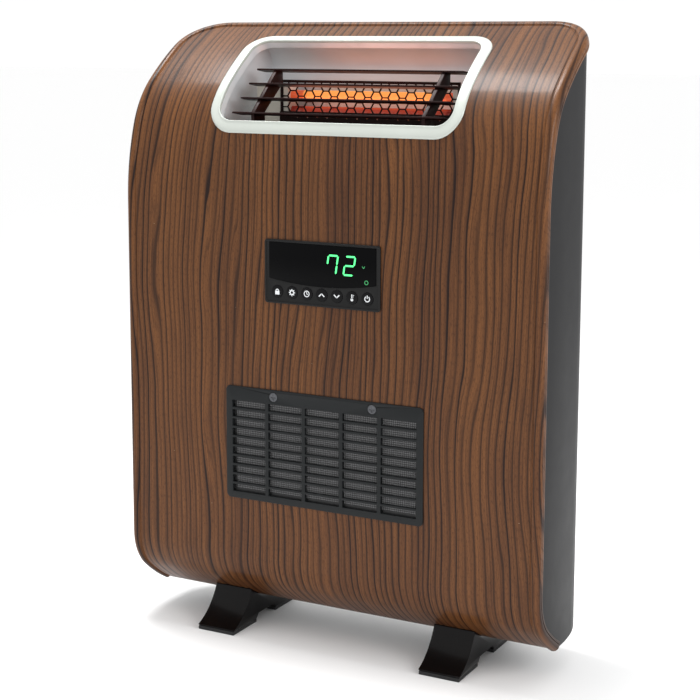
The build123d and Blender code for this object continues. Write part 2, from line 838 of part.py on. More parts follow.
def intake_grille():
    near = front_y - grille_proud
    plate = front_plate(grille_half, grille_foot_z, grille_head_z, grille_corner, near, front_y)
    plate += front_plate(grille_half - grille_plug, grille_foot_z + grille_plug,
                         grille_head_z - grille_plug, grille_corner, front_y, front_y + grille_back)
    cut = extrude(Plane.XZ * grille_slots(), amount=grille_back + grille_proud + 2 * past)
    plate -= Pos(0, front_y + grille_back + past, 0) * cut
    for x in (-grille_screw_x, grille_screw_x):
        plate -= rod_y(screw_recess_r, near - past, screw_seat_y, x, grille_screw_z)
        plate -= rod_y(screw_r, near - past, front_y + grille_back + past, x, grille_screw_z)
    return plate


def grille_screws():
    screws = Part()
    long, slim, floor = slot_cross
    for x in (-grille_screw_x, grille_screw_x):
        head = rod_y(screw_head_r, screw_seat_y - screw_head_high, screw_seat_y, x, grille_screw_z)
        for half_x, half_z in ((long, slim), (slim, long)):
            head -= block(x - half_x, x + half_x, screw_seat_y - 2 * screw_head_high, screw_seat_y - floor,
                          grille_screw_z - half_z, grille_screw_z + half_z)
        screws += head + rod_y(screw_r, screw_seat_y, carrier_back_y - past, x, grille_screw_z)
    return screws


def carrier_opening(inset, y0, y1):
    """The window in the filter carrier, smaller by inset all round."""
    half = grille_half - carrier_rim - inset
    return block(-half, half, y0, y1, grille_foot_z + carrier_rim + inset,
                 grille_head_z - carrier_rim - carrier_head - inset)


def filter_carrier():
    """Frame behind the front shell that holds the filter and takes the grille's screws."""
    lap_x, lap_z = carrier_lap
    frame = block(-grille_half - lap_x, grille_half + lap_x, carrier_front_y, carrier_back_y,
                  grille_foot_z - lap_z, grille_head_z + lap_z)
    frame -= carrier_opening(0.0, carrier_front_y - past, carrier_back_y + past)
    for x in (-grille_screw_x, grille_screw_x):
        frame -= rod_y(screw_r, carrier_front_y - past, carrier_back_y - past, x, grille_screw_z)
    return frame


def filter_pad():
    return carrier_opening(fit_gap, filter_y, filter_y + filter_thick)


# ---- electrics ----
def power_board():
    return block(*board_at)


def board_standoffs():
    posts = Part()
    x0, x1, _, back, z0, z1 = board_at
    for x in (x0 + standoff_in, x1 - standoff_in):
        for z in (z0 + standoff_in, z1 - standoff_in):
            posts += rod_y(standoff_r, back, plate_front_y, x, z)
    return posts


def board_relays():
    """Two relays and the supply transformer."""
    relays = block(*transformer_at)
    for z in relay_zs:
        relays += block(*relay_at, z - relay_half_high, z + relay_half_high)
    return relays


def thermal_cutout():
    """Snap-disc cut-out with two ears, on the front of the duct."""
    y = duct_front_y
    ear_x, ear_y, ear_z = cutout_ear
    ears = block(-ear_x, ear_x, y - ear_y, y, cutout_z - ear_z, cutout_z + ear_z)
    return rod_y(cutout_r, y - cutout_high, y, 0.0, cutout_z) + ears


def tilt_switch():
    return block(*tilt_at)


def terminal_block():
    body = block(*terminals_at)
    _, _, near, _, z0, z1 = terminals_at
    for x in terminal_xs:
        body -= rod_y(terminal_r, near - past, near + terminal_deep, x, (z0 + z1) / 2)
    return body


def room_sensor():
    """Air temperature sensor on the filter carrier, in the intake's air stream."""
    wide, deep, high = sensor_size
    x = grille_half - carrier_rim - wide / 3
    return block(x, x + wide, carrier_back_y, carrier_back_y + deep, sensor_z - high / 2, sensor_z + high / 2)


def cord_inlet():
    """Bush that the supply cord would pass through."""
    y0 = back_y - gland_long
    bush = rod_y(gland_r, y0, tub_back_y, gland_x, rear_fit_z)
    bush += rod_y(gland_r + gland_lip, y0, tub_inner_y, gland_x, rear_fit_z)
    bush += rod_y(gland_r + gland_lip, tub_back_y, back_y, gland_x, rear_fit_z)
    return bush - rod_y(gland_bore_r, y0 - past, back_y + past, gland_x, rear_fit_z)


def rocker_frame():
    body = rocker_box(rocker_rim - 1.0, tub_back_y - rocker_deep, tub_back_y)
    body += rocker_box(rocker_rim, tub_back_y, tub_back_y + rocker_lip)
    body -= rocker_box(0.0, tub_back_y - rocker_well, back_y)
    half = rocker_size[0] / 2 + 1.0
    return body - rod_x(pin_r + shaft_gap, rocker_x - half, rocker_x + half, rocker_axis_y, rear_fit_z)


def power_rocker():
    """Key that rocks on its two side pins."""
    side_gap, end_gap = rocker_gaps
    half_x, half_z = rocker_size[0] / 2 - side_gap, rocker_size[1] / 2 - end_gap
    body = block(rocker_x - half_x, rocker_x + half_x, rocker_axis_y - rocker_under,
                 tub_back_y - rocker_sunk, rear_fit_z - half_z, rear_fit_z + half_z)
    reach = half_x + pin_long
    return body + rod_x(pin_r, rocker_x - reach, rocker_x + reach, rocker_axis_y, rear_fit_z)


# ---- feet ----
def foot(side):
    """Runner foot: low toes front and back, hollow sweeps up to the belly, arched underside."""
    end, head, top = foot_half_long, foot_head_half, belly_z + foot_head_half
    sweep_y, sweep_z = foot_sweep
    edges = [
        ThreePointArc((0, -end, toe_high), (0, -sweep_y, sweep_z), (0, -head, top_of_sweep)),
        Polyline((0, -head, top_of_sweep), (0, -head, top), (0, head, top), (0, head, top_of_sweep)),
        ThreePointArc((0, head, top_of_sweep), (0, sweep_y, sweep_z), (0, end, toe_high)),
    ]
    half = [(end, toe_high), (end - foot_chamfer, pad_thick), (pad_inner_y, pad_thick),
            (pad_inner_y - foot_arch_run, foot_arch_z)]
    low = [(0, y, z) for y, z in half] + [(0, -y, z) for y, z in reversed(half)]
    loop = edges[0].edges() + edges[1].edges() + edges[2].edges() + Polyline(*low).edges()
    body = Pos(side * foot_x, 0, 0) * prism(make_face(Wire(loop)), foot_wide / 2)
    body -= prism(outline(0.0, back_y, belly_z), width / 2)
    return body - foot_screw_bores(side)


def foot_screw_bores(side):
    bores = Part()
    for y in foot_screw_ys:
        bores += rod_z(screw_r, 0, belly_z + past, side * foot_x, y)
        bores += rod_z(screw_head_r + fit_gap, 0, foot_arch_z + foot_seat, side * foot_x, y)
    return bores


def foot_screws():
    screws = Part()
    for side in (-1, 1):
        for y in foot_screw_ys:
            seat = foot_arch_z + foot_seat
            screws += rod_z(screw_head_r, seat - small_head_high, seat, side * foot_x, y)
            screws += rod_z(screw_r, seat, belly_z, side * foot_x, y)
    return screws


def foot_pads():
    pads = Part()
    for side in (-1, 1):
        for end in (-1, 1):
            y0, y1 = end * pad_inner_y, end * (foot_half_long - pad_in)
            half = foot_wide / 2 - pad_in
            pads += block(side * foot_x - half, side * foot_x + half, min(y0, y1), max(y0, y1), 0, pad_thick)
    return pads


def build():
    parts = {}
    parts["front_shell"] = front_shell()
    parts["rear_tub"] = rear_tub()
    parts["rear_cover"] = rear_cover()
    parts["rear_cover_screws"] = cover_screws()
    parts["shell_screws"] = lug_screws()
    parts["outlet_trim"] = outlet_trim()
    parts["reflector"] = reflector()
    parts["chamber_floor"] = chamber_floor()
    for k in range(louvre_count):
        parts[f"louvre_{k + 1}"] = louvre(k)
    parts["louvre_bracket_left"] = louvre_bracket(-1)
    parts["louvre_bracket_right"] = louvre_bracket(1)
    parts["element_guard"] = element_guard()
    for name, z in tube_zs.items():
        parts[f"quartz_tube_{name}"] = quartz_tube(z)
        parts[f"heating_coil_{name}"] = heating_coil(z)
    parts["ceramic_cap_left"] = end_cap(-1)
    parts["ceramic_cap_right"] = end_cap(1)
    parts["air_duct"] = air_duct()
    parts["blower_housing"] = blower_housing()
    parts["blower_wheel"] = blower_wheel()
    parts["blower_shaft"] = blower_shaft()
    parts["blower_bush"] = blower_bush()
    parts["blower_motor"] = blower_motor()
    parts["mounting_plate"] = mounting_plate()
    parts["display_bezel"] = display_bezel()
    parts["display_window"] = display_window()
    parts["display_digits"] = display_digits()
    parts["display_module"] = display_module()
    parts["status_lamps"] = status_lamps()
    parts["control_board"] = control_board()
    parts["key_switches"] = key_switches()
    for name, x in zip(key_names, key_xs):
        parts[f"key_{name}"] = key(x)
    parts["intake_grille"] = intake_grille()
    parts["grille_screws"] = grille_screws()
    parts["filter_carrier"] = filter_carrier()
    parts["filter_pad"] = filter_pad()
    parts["power_board"] = power_board()
    parts["board_standoffs"] = board_standoffs()
    parts["board_relays"] = board_relays()
    parts["thermal_cutout"] = thermal_cutout()
    parts["tilt_switch"] = tilt_switch()
    parts["terminal_block"] = terminal_block()
    parts["room_sensor"] = room_sensor()
    parts["cord_inlet"] = cord_inlet()
    parts["rocker_frame"] = rocker_frame()
    parts["power_rocker"] = power_rocker()
    parts["foot_left"] = foot(-1)
    parts["foot_right"] = foot(1)
    parts["foot_screws"] = foot_screws()
    parts["foot_pads"] = foot_pads()
    return parts


os.makedirs("parts", exist_ok=True)
for name, shape in build().items():
    export_step(shape, f"parts/{name}.step")
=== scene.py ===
import json
from math import acos, atan2, ceil, cos, degrees, hypot, pi, radians, sin, sqrt

import bmesh
import bpy
from mathutils import Matrix, Vector

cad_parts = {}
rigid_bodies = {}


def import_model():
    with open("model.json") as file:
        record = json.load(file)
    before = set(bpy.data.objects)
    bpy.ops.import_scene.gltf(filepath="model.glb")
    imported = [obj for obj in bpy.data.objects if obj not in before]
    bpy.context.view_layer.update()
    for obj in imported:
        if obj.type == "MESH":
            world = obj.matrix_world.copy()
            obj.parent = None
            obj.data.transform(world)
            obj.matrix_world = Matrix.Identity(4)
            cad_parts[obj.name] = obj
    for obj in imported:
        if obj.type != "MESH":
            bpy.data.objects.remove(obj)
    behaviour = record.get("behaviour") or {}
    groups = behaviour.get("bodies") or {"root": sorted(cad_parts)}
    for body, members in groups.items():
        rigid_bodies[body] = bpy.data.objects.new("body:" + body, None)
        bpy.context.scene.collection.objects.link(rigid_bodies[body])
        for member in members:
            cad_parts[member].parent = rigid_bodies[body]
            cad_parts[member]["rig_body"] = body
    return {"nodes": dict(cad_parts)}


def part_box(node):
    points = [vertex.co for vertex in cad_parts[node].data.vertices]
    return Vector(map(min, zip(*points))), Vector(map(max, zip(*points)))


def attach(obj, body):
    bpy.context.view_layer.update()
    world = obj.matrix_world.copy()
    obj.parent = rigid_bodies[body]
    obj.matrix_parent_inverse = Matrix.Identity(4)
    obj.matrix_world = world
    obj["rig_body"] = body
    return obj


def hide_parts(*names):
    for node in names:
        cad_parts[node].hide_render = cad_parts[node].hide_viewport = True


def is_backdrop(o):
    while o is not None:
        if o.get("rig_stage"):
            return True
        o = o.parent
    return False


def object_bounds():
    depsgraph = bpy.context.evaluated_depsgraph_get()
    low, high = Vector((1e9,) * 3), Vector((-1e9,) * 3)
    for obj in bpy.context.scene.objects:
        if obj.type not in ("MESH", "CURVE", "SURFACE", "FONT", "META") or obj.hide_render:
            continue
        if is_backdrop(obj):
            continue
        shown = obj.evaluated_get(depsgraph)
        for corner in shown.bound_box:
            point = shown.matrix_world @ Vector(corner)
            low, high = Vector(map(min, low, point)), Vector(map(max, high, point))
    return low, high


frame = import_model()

cad_low, cad_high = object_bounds()
nodes = frame["nodes"]
MM = 0.001
MERGE = 2e-6                # points closer than this are one point
SHARP, FLAT = radians(30), radians(0.4)


# ---- pieces: making, finishing and placing ----
def select_only(piece):
    bpy.ops.object.select_all(action="DESELECT")
    piece.select_set(True)
    bpy.context.view_layer.objects.active = piece


def finish_with(piece, kind, **settings):
    """Add one modifier and apply it."""
    select_only(piece)
    modifier = piece.modifiers.new(kind.lower(), kind)
    for key, value in settings.items():
        setattr(modifier, key, value)
    bpy.ops.object.modifier_apply(modifier=modifier.name)


def soften(piece, width, segments=2):
    """Round every sharp edge."""
    finish_with(piece, "BEVEL", width=width, segments=segments, limit_method="ANGLE",
                angle_limit=SHARP, use_clamp_overlap=False)


def smooth(piece, turn=35):
    select_only(piece)
    bpy.ops.object.shade_smooth_by_angle(angle=radians(turn))


def settle(piece):
    """Put the piece's place into its mesh."""
    piece.data.transform(piece.matrix_world)
    piece.matrix_world = Matrix.Identity(4)


def with_bmesh(piece, work):
    mesh = bmesh.new()
    mesh.from_mesh(piece.data)
    work(mesh)
    mesh.to_mesh(piece.data)
    mesh.free()


def weld(piece):
    """Merge touching points and turn the faces outwards."""
    def work(mesh):
        bmesh.ops.remove_doubles(mesh, verts=mesh.verts, dist=MERGE)
        bmesh.ops.recalc_face_normals(mesh, faces=mesh.faces)
    with_bmesh(piece, work)


def declare(piece, finish, body, stands_for=()):
    """Give a piece its material, its body and the CAD nodes that it replaces."""
    piece.data.materials.clear()
    piece.data.materials.append(finish)
    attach(piece, body)
    if stands_for:
        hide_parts(*stands_for)
    return piece


def dressed(node, finish, width, segments=2, join_flats=True):
    """Copy of a CAD node with its triangles merged and its edges softened, in the node's place."""
    piece = bpy.data.objects.new(node + "_piece", nodes[node].data.copy())
    bpy.context.scene.collection.objects.link(piece)
    select_only(piece)
    if piece.data.has_custom_normals:
        bpy.ops.mesh.customdata_custom_splitnormals_clear()

    def work(mesh):
        bmesh.ops.remove_doubles(mesh, verts=mesh.verts, dist=MERGE)
        if join_flats:
            bmesh.ops.dissolve_limit(mesh, angle_limit=FLAT, verts=mesh.verts, edges=mesh.edges)
    with_bmesh(piece, work)
    if width:
        soften(piece, width, segments)
    smooth(piece)
    return declare(piece, finish, nodes[node]["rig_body"], [node])


def grid(name, rows):
    """A grid primitive whose points are moved to the given rows of points."""
    across, up = len(rows[0]) - 1, len(rows) - 1
    bpy.ops.object.select_all(action="DESELECT")
    bpy.ops.mesh.primitive_grid_add(x_subdivisions=across, y_subdivisions=up, size=1.0)
    piece = bpy.context.active_object
    piece.name = name
    for vertex in piece.data.vertices:
        i = round((vertex.co.x + 0.5) * across)
        j = round((vertex.co.y + 0.5) * up)
        vertex.co = rows[j][i]
    settle(piece)
    return piece


def join(pieces):
    """Join meshes into the first one."""
    bpy.ops.object.select_all(action="DESELECT")
    for piece in pieces:
        piece.select_set(True)
    bpy.context.view_layer.objects.active = pieces[0]
    bpy.ops.object.join()
    return pieces[0]


def cut(piece, tool):
    """Take the tool's shape out of the piece, and remove the tool."""
    finish_with(piece, "BOOLEAN", operation="DIFFERENCE", solver="EXACT", object=tool)
    bpy.data.objects.remove(tool)


def rounded_bar(name, size, place, corner, turn=None):
    """A cube primitive with its four edges along local Y rounded."""
    bpy.ops.object.select_all(action="DESELECT")
    bpy.ops.mesh.primitive_cube_add(size=1.0)
    piece = bpy.context.active_object
    piece.name = name
    piece.data.transform(Matrix.Diagonal((*size, 1.0)))
    bpy.ops.object.mode_set(mode="EDIT")
    bpy.ops.mesh.select_all(action="DESELECT")
    bpy.ops.object.mode_set(mode="OBJECT")
    for edge in piece.data.edges:
        a, b = (piece.data.vertices[v].co for v in edge.vertices)
        edge.select = abs(a.x - b.x) < 1e-7 and abs(a.z - b.z) < 1e-7
    bpy.ops.object.mode_set(mode="EDIT")
    bpy.ops.mesh.select_mode(type="EDGE")
    bpy.ops.mesh.bevel(offset=corner, segments=12, affect="EDGES")
    bpy.ops.object.mode_set(mode="OBJECT")
    piece.matrix_world = Matrix.Translation(place) @ (turn or Matrix.Identity(4))
    settle(piece)
    return piece


# ---- shader nodes ----
class Tree:
    """Small helper round a node tree."""

    def __init__(self, node_tree):
        self.tree = node_tree
        self.count = 0

    def add(self, kind, links=None, **values):
        """Make a node; links feed its inputs by name or number, values set its fields."""
        node = self.tree.nodes.new(kind)
        node.location = (220 * (self.count // 4), -260 * (self.count % 4))
        self.count += 1
        for key, value in values.items():
            setattr(node, key, value)
        for key, value in (links or {}).items():
            if isinstance(value, bpy.types.NodeSocket):
                self.tree.links.new(value, node.inputs[key])
            else:
                node.inputs[key].default_value = value
        return node

    def math(self, operation, a, b=0.0, c=0.0, clamp=False):
        node = self.add("ShaderNodeMath", {0: a, 1: b, 2: c}, operation=operation, use_clamp=clamp)
        return node.outputs[0]

    def mix(self, factor, a, b):
        node = self.add("ShaderNodeMix", data_type="RGBA", blend_type="MIX")
        for socket, value in ((node.inputs[0], factor), (node.inputs[6], a), (node.inputs[7], b)):
            if isinstance(value, bpy.types.NodeSocket):
                self.tree.links.new(value, socket)
            else:
                socket.default_value = value
        return node.outputs[2]

    def ramp(self, factor, stops):
        """Greyscale or colour ramp from (place, colour or grey) stops."""
        node = self.add("ShaderNodeValToRGB", {0: factor})
        ramp = node.color_ramp
        ramp.interpolation = "LINEAR"
        while len(ramp.elements) < len(stops):
            ramp.elements.new(0.5)
        for element, (place, colour) in zip(ramp.elements, stops):
            element.position = place
            element.color = colour if isinstance(colour, tuple) else (colour, colour, colour, 1.0)
        return node.outputs[0]

    def noise(self, vector, scale, detail, rough=0.5):
        node = self.add("ShaderNodeTexNoise", {"Vector": vector, "Scale": scale, "Detail": detail,
                                               "Roughness": rough})
        return node.outputs[0]


def group(name, inputs, outputs):
    """New shader group with named sockets; returns its tree, input node and output node."""
    node_tree = bpy.data.node_groups.new(name, "ShaderNodeTree")
    for label, kind, value in inputs:
        socket = node_tree.interface.new_socket(label, in_out="INPUT", socket_type=kind)
        socket.default_value = value
    for label, kind in outputs:
        node_tree.interface.new_socket(label, in_out="OUTPUT", socket_type=kind)
    tree = Tree(node_tree)
    return tree, tree.add("NodeGroupInput"), tree.add("NodeGroupOutput")


FLOAT, COLOUR, VECTOR = "NodeSocketFloat", "NodeSocketColor", "NodeSocketVector"
FINISH_OUTPUTS = [("Color", COLOUR), ("Roughness", FLOAT), ("Normal", VECTOR)]


def linear(red, green, blue):
    """Screen colour from 0 to 255 as a linear shader colour."""
    return tuple((c / 255 / 12.92 if c < 10.3 else ((c / 255 + 0.055) / 1.055) ** 2.4)
                 for c in (red, green, blue)) + (1.0,)


def surface_group():
    """Even finish with soft blotches, fine moulded grain and handling smudges."""
    tree, start, end = group("Moulded finish", [
        ("Color", COLOUR, (0.5, 0.5, 0.5, 1.0)), ("Color Shift", FLOAT, 0.15),
        ("Roughness", FLOAT, 0.4), ("Roughness Shift", FLOAT, 0.1),
        ("Grain Scale", FLOAT, 900.0), ("Grain Height", FLOAT, 0.1)], FINISH_OUTPUTS)
    place = tree.add("ShaderNodeTexCoord").outputs["Object"]
    blotch = tree.noise(place, 14.0, 4.0)
    smudge = tree.noise(place, 55.0, 2.0)
    grain = tree.noise(place, start.outputs["Grain Scale"], 2.0)
    shade = tree.math("MULTIPLY_ADD", tree.math("SUBTRACT", blotch, 0.5), start.outputs["Color Shift"], 1.0)
    colour = tree.add("ShaderNodeVectorMath", {0: start.outputs["Color"], "Scale": shade}, operation="SCALE")
    both = tree.math("ADD", tree.math("SUBTRACT", blotch, 0.5), tree.math("SUBTRACT", smudge, 0.5))
    rough = tree.math("MULTIPLY_ADD", both, start.outputs["Roughness Shift"], start.outputs["Roughness"],
                      clamp=True)
    bump = tree.add("ShaderNodeBump", {
        "Strength": start.outputs["Grain Height"], "Distance": 0.0002, "Height": grain})
    tree.tree.links.new(colour.outputs[0], end.inputs["Color"])
    tree.tree.links.new(rough, end.inputs["Roughness"])
    tree.tree.links.new(bump.outputs[0], end.inputs["Normal"])
    return tree.tree


def brushed_group():
    """Rolled or brushed metal: streaks along X, with bright edges that are partly wear and partly a painted
    highlight.
    """
    tree, start, end = group("Rolled metal", [
        ("Color", COLOUR, (0.7, 0.7, 0.7, 1.0)), ("Edge Color", COLOUR, (0.8, 0.8, 0.8, 1.0)),
        ("Roughness", FLOAT, 0.3), ("Roughness Shift", FLOAT, 0.15), ("Streak Height", FLOAT, 0.05)],
        FINISH_OUTPUTS)
    place = tree.add("ShaderNodeTexCoord").outputs["Object"]
    stretched = tree.add("ShaderNodeMapping", {"Vector": place, "Scale": (12.0, 900.0, 900.0)}).outputs[0]
    streak = tree.noise(stretched, 1.0, 3.0)
    cloud = tree.noise(place, 22.0, 4.0)
    # painted highlight mixed with wear: sharp edges are lightened in patches toward the edge colour, partly
    # as wear and partly as a painted edge highlight
    edge = tree.ramp(tree.add("ShaderNodeNewGeometry").outputs["Pointiness"], [(0.52, 0.0), (0.6, 1.0)])
    worn_and_highlit = tree.math("MULTIPLY", edge, tree.ramp(cloud, [(0.35, 0.0), (0.7, 1.0)]))
    shade = tree.math("MULTIPLY_ADD", cloud, 0.2, 0.9)
    toned = tree.add("ShaderNodeVectorMath", {0: start.outputs["Color"], "Scale": shade}, operation="SCALE")
    colour = tree.mix(worn_and_highlit, toned.outputs[0], start.outputs["Edge Color"])
    both = tree.math("SUBTRACT", tree.math("MULTIPLY_ADD", streak, 0.6, cloud), 0.8)
    rough = tree.math("MULTIPLY_ADD", both, start.outputs["Roughness Shift"], start.outputs["Roughness"],
                      clamp=True)
    bump = tree.add("ShaderNodeBump", {
        "Strength": start.outputs["Streak Height"], "Distance": 0.0001, "Height": streak})
    tree.tree.links.new(colour, end.inputs["Color"])
    tree.tree.links.new(rough, end.inputs["Roughness"])
    tree.tree.links.new(bump.outputs[0], end.inputs["Normal"])
    return tree.tree


def dust_group():
    """A few pale specks over a colour."""
    tree, start, end = group("Specks", [
        ("Color", COLOUR, (0.5, 0.5, 0.5, 1.0)), ("Speck Color", COLOUR, (0.6, 0.55, 0.5, 1.0)),
        ("Scale", FLOAT, 90.0), ("Amount", FLOAT, 0.03)], [("Color", COLOUR)])
    place = tree.add("ShaderNodeTexCoord").outputs["Object"]
    cell = tree.add("ShaderNodeTexVoronoi", {"Vector": place, "Scale": start.outputs["Scale"]})
    size = tree.math("MULTIPLY", cell.outputs["Color"], start.outputs["Amount"])
    speck = tree.math("LESS_THAN", cell.outputs["Distance"], size)
    colour = tree.mix(tree.math("MULTIPLY", speck, 0.6), start.outputs["Color"], start.outputs["Speck Color"])
    tree.tree.links.new(colour, end.inputs["Color"])
    return tree.tree


def wood_group():
    """Walnut film: upright wavy grain lines with dark late wood, soft bands and fine pores."""
    tree, start, end = group("Walnut film", [
        ("Pale", COLOUR, linear(113, 71, 37)), ("Middle", COLOUR, linear(77, 45, 24)),
        ("Dark", COLOUR, linear(26, 9, 4)), ("Roughness", FLOAT, 0.38), ("Lines", FLOAT, 125.0)],
        FINISH_OUTPUTS)
    place = tree.add("ShaderNodeTexCoord").outputs["Object"]
    parts = tree.add("ShaderNodeSeparateXYZ", {0: place})
    along = tree.math("ADD", parts.outputs["Z"], tree.math("MULTIPLY", parts.outputs["Y"], 0.8))

    def field(across_scale, along_scale, detail, shift):
        """Noise stretched along the grain, as a value about 0."""
        spot = tree.add("ShaderNodeCombineXYZ", {
            0: tree.math("MULTIPLY_ADD", parts.outputs["X"], across_scale, shift),
            1: tree.math("MULTIPLY", along, along_scale), 2: shift})
        return tree.math("SUBTRACT", tree.noise(spot.outputs[0], 1.0, detail), 0.5)

    sway = tree.math("MULTIPLY", field(4.0, 3.4, 1.0, 3.1), 0.048)
    ripple = tree.math("MULTIPLY", field(26.0, 9.0, 2.0, 7.7), 0.0045)
    across = tree.math("ADD", parts.outputs["X"], tree.math("ADD", sway, ripple))
    spread = tree.math("MULTIPLY", field(20.0, 0.5, 3.0, 11.3), 4.2)
    ring = tree.math("MULTIPLY_ADD", across, start.outputs["Lines"], spread)
    step = tree.math("FRACT", ring)
    number = tree.math("FLOOR", ring)
    chance = tree.add("ShaderNodeTexWhiteNoise", {"W": number}, noise_dimensions="1D").outputs["Value"]
    late = tree.ramp(step, [(0.0, 0.75), (0.07, 0.2), (0.25, 0.0), (0.5, 0.08), (0.76, 0.45),
                            (0.88, 1.0), (0.98, 1.0), (1.0, 0.75)])
    weight = tree.math("MULTIPLY_ADD", chance, 0.5, 0.6)
    fine_ring = tree.math("MULTIPLY_ADD", ring, 2.7, tree.math("MULTIPLY", spread, 1.3))
    fine_step = tree.math("FRACT", fine_ring)
    fine = tree.ramp(fine_step, [(0.0, 0.5), (0.2, 0.0), (0.6, 0.0), (0.9, 1.0), (1.0, 0.5)])
    fine_number = tree.math("FLOOR", fine_ring)
    fine_chance = tree.add("ShaderNodeTexWhiteNoise", {"W": fine_number}, noise_dimensions="1D")
    thin = tree.math("MULTIPLY", fine, tree.math("MULTIPLY", fine_chance.outputs["Value"], 0.65))
    line = tree.math("MAXIMUM", tree.math("MULTIPLY", late, weight), thin)
    streak_spot = tree.add("ShaderNodeCombineXYZ", {
        0: tree.math("MULTIPLY", across, 620.0), 1: tree.math("MULTIPLY", along, 16.0), 2: 0.0})
    streak = tree.noise(streak_spot.outputs[0], 1.0, 4.0, 0.62)
    pore_spot = tree.add("ShaderNodeCombineXYZ", {
        0: tree.math("MULTIPLY", across, 1100.0), 1: tree.math("MULTIPLY", along, 210.0), 2: 4.0})
    pore = tree.ramp(tree.noise(pore_spot.outputs[0], 1.0, 2.0, 0.65), [(0.3, 1.0), (0.5, 0.0)])
    band = tree.math("ADD", field(22.0, 0.9, 2.0, 17.9), 0.5)
    tone = tree.math("ADD", tree.math("MULTIPLY", band, 0.7), tree.math("MULTIPLY", streak, 0.7))
    paleness = tree.ramp(tone, [(0.48, 0.0), (0.86, 1.0)])
    ground = tree.mix(paleness, start.outputs["Middle"], start.outputs["Pale"])
    shaded = tree.mix(tree.math("MULTIPLY", pore, 0.45), ground, start.outputs["Dark"])
    colour = tree.mix(tree.math("MULTIPLY", line, 1.0, clamp=True), shaded, start.outputs["Dark"])
    depth = tree.math("ADD", tree.math("MULTIPLY", line, -0.6), tree.math("MULTIPLY", pore, -0.5))
    rough = tree.math("MULTIPLY_ADD", tree.math("ADD", line, pore), 0.10, start.outputs["Roughness"],
                      clamp=True)
    bump = tree.add("ShaderNodeBump", {"Strength": 0.12, "Distance": 0.0002, "Height": depth})
    tree.tree.links.new(colour, end.inputs["Color"])
    tree.tree.links.new(rough, end.inputs["Roughness"])
    tree.tree.links.new(bump.outputs[0], end.inputs["Normal"])
    return tree.tree


def weave_group():
    """Plain woven screen: two sets of crossing threads."""
    tree, start, end = group("Woven screen", [
        ("Thread", COLOUR, (0.2, 0.2, 0.2, 1.0)), ("Gap", COLOUR, (0.01, 0.01, 0.01, 1.0)),
        ("Pitch", FLOAT, 0.0021)], FINISH_OUTPUTS)
    place = tree.add("ShaderNodeTexCoord").outputs["Object"]
    parts = tree.add("ShaderNodeSeparateXYZ", {0: place})

    def wave(value):
        turned = tree.math("MULTIPLY", tree.math("DIVIDE", value, start.outputs["Pitch"]), pi)
        return tree.math("ABSOLUTE", tree.math("SINE", turned))

    across, up = wave(parts.outputs["X"]), wave(parts.outputs["Z"])
    thread = tree.math("MAXIMUM", tree.math("MULTIPLY", across, across), tree.math("MULTIPLY", up, up))
    knot = tree.math("MULTIPLY", across, up)
    height = tree.math("MULTIPLY_ADD", knot, 0.6, tree.math("MULTIPLY", thread, 0.4))
    covered = tree.ramp(height, [(0.35, 0.0), (0.8, 1.0)])
    colour = tree.mix(covered, start.outputs["Gap"], start.outputs["Thread"])
    bump = tree.add("ShaderNodeBump", {"Strength": 0.9, "Distance": 0.0006, "Height": height})
    rough = tree.math("MULTIPLY_ADD", knot, -0.15, 0.6)
    tree.tree.links.new(colour, end.inputs["Color"])
    tree.tree.links.new(rough, end.inputs["Roughness"])
    tree.tree.links.new(bump.outputs[0], end.inputs["Normal"])
    return tree.tree


GROUPS = {"moulded": surface_group(), "rolled": brushed_group(), "specks": dust_group(),
          "walnut": wood_group(), "woven": weave_group()}


def material(name, kind, group_values, specks=None, glow=None, **shader_values):
    """Principled material fed by one finish group, and by the specks group if asked."""
    made = bpy.data.materials.new(name)
    made.use_nodes = True
    made.node_tree.nodes.clear()
    tree = Tree(made.node_tree)
    finish = tree.add("ShaderNodeGroup", node_tree=GROUPS[kind])
    for key, value in group_values.items():
        finish.inputs[key].default_value = value
    colour = finish.outputs["Color"]
    if specks:
        dust = tree.add("ShaderNodeGroup", node_tree=GROUPS["specks"])
        for key, value in specks.items():
            dust.inputs[key].default_value = value
        tree.tree.links.new(colour, dust.inputs["Color"])
        colour = dust.outputs["Color"]
    shader = tree.add("ShaderNodeBsdfPrincipled", {
        "Base Color": colour, "Roughness": finish.outputs["Roughness"], "Normal": finish.outputs["Normal"]})
    for key, value in shader_values.items():
        shader.inputs[key.replace("_", " ")].default_value = value
    if glow:
        tree.tree.links.new(glow(tree), shader.inputs["Emission Color"])
    out = tree.add("ShaderNodeOutputMaterial", {"Surface": shader.outputs[0]})
    made.node_tree.nodes.active = out
    return made


def hot_tube_glow(hot, cool, half_lit):
    """Glow along a tube: bright in the lit length, dull red at the ends."""
    def build(tree):
        place = tree.add("ShaderNodeTexCoord").outputs["Object"]
        x = tree.add("ShaderNodeSeparateXYZ", {0: place}).outputs["X"]
        reach = tree.math("DIVIDE", tree.math("ABSOLUTE", x), half_lit)
        stretched = tree.add("ShaderNodeMapping", {"Vector": place, "Scale": (260.0, 30.0, 30.0)})
        ripple = tree.noise(stretched.outputs[0], 1.0, 2.0)
        level = tree.math("MULTIPLY_ADD", ripple, 0.25, reach)
        return tree.ramp(level, [(0.0, hot), (0.88, hot), (1.0, cool)])
    return build


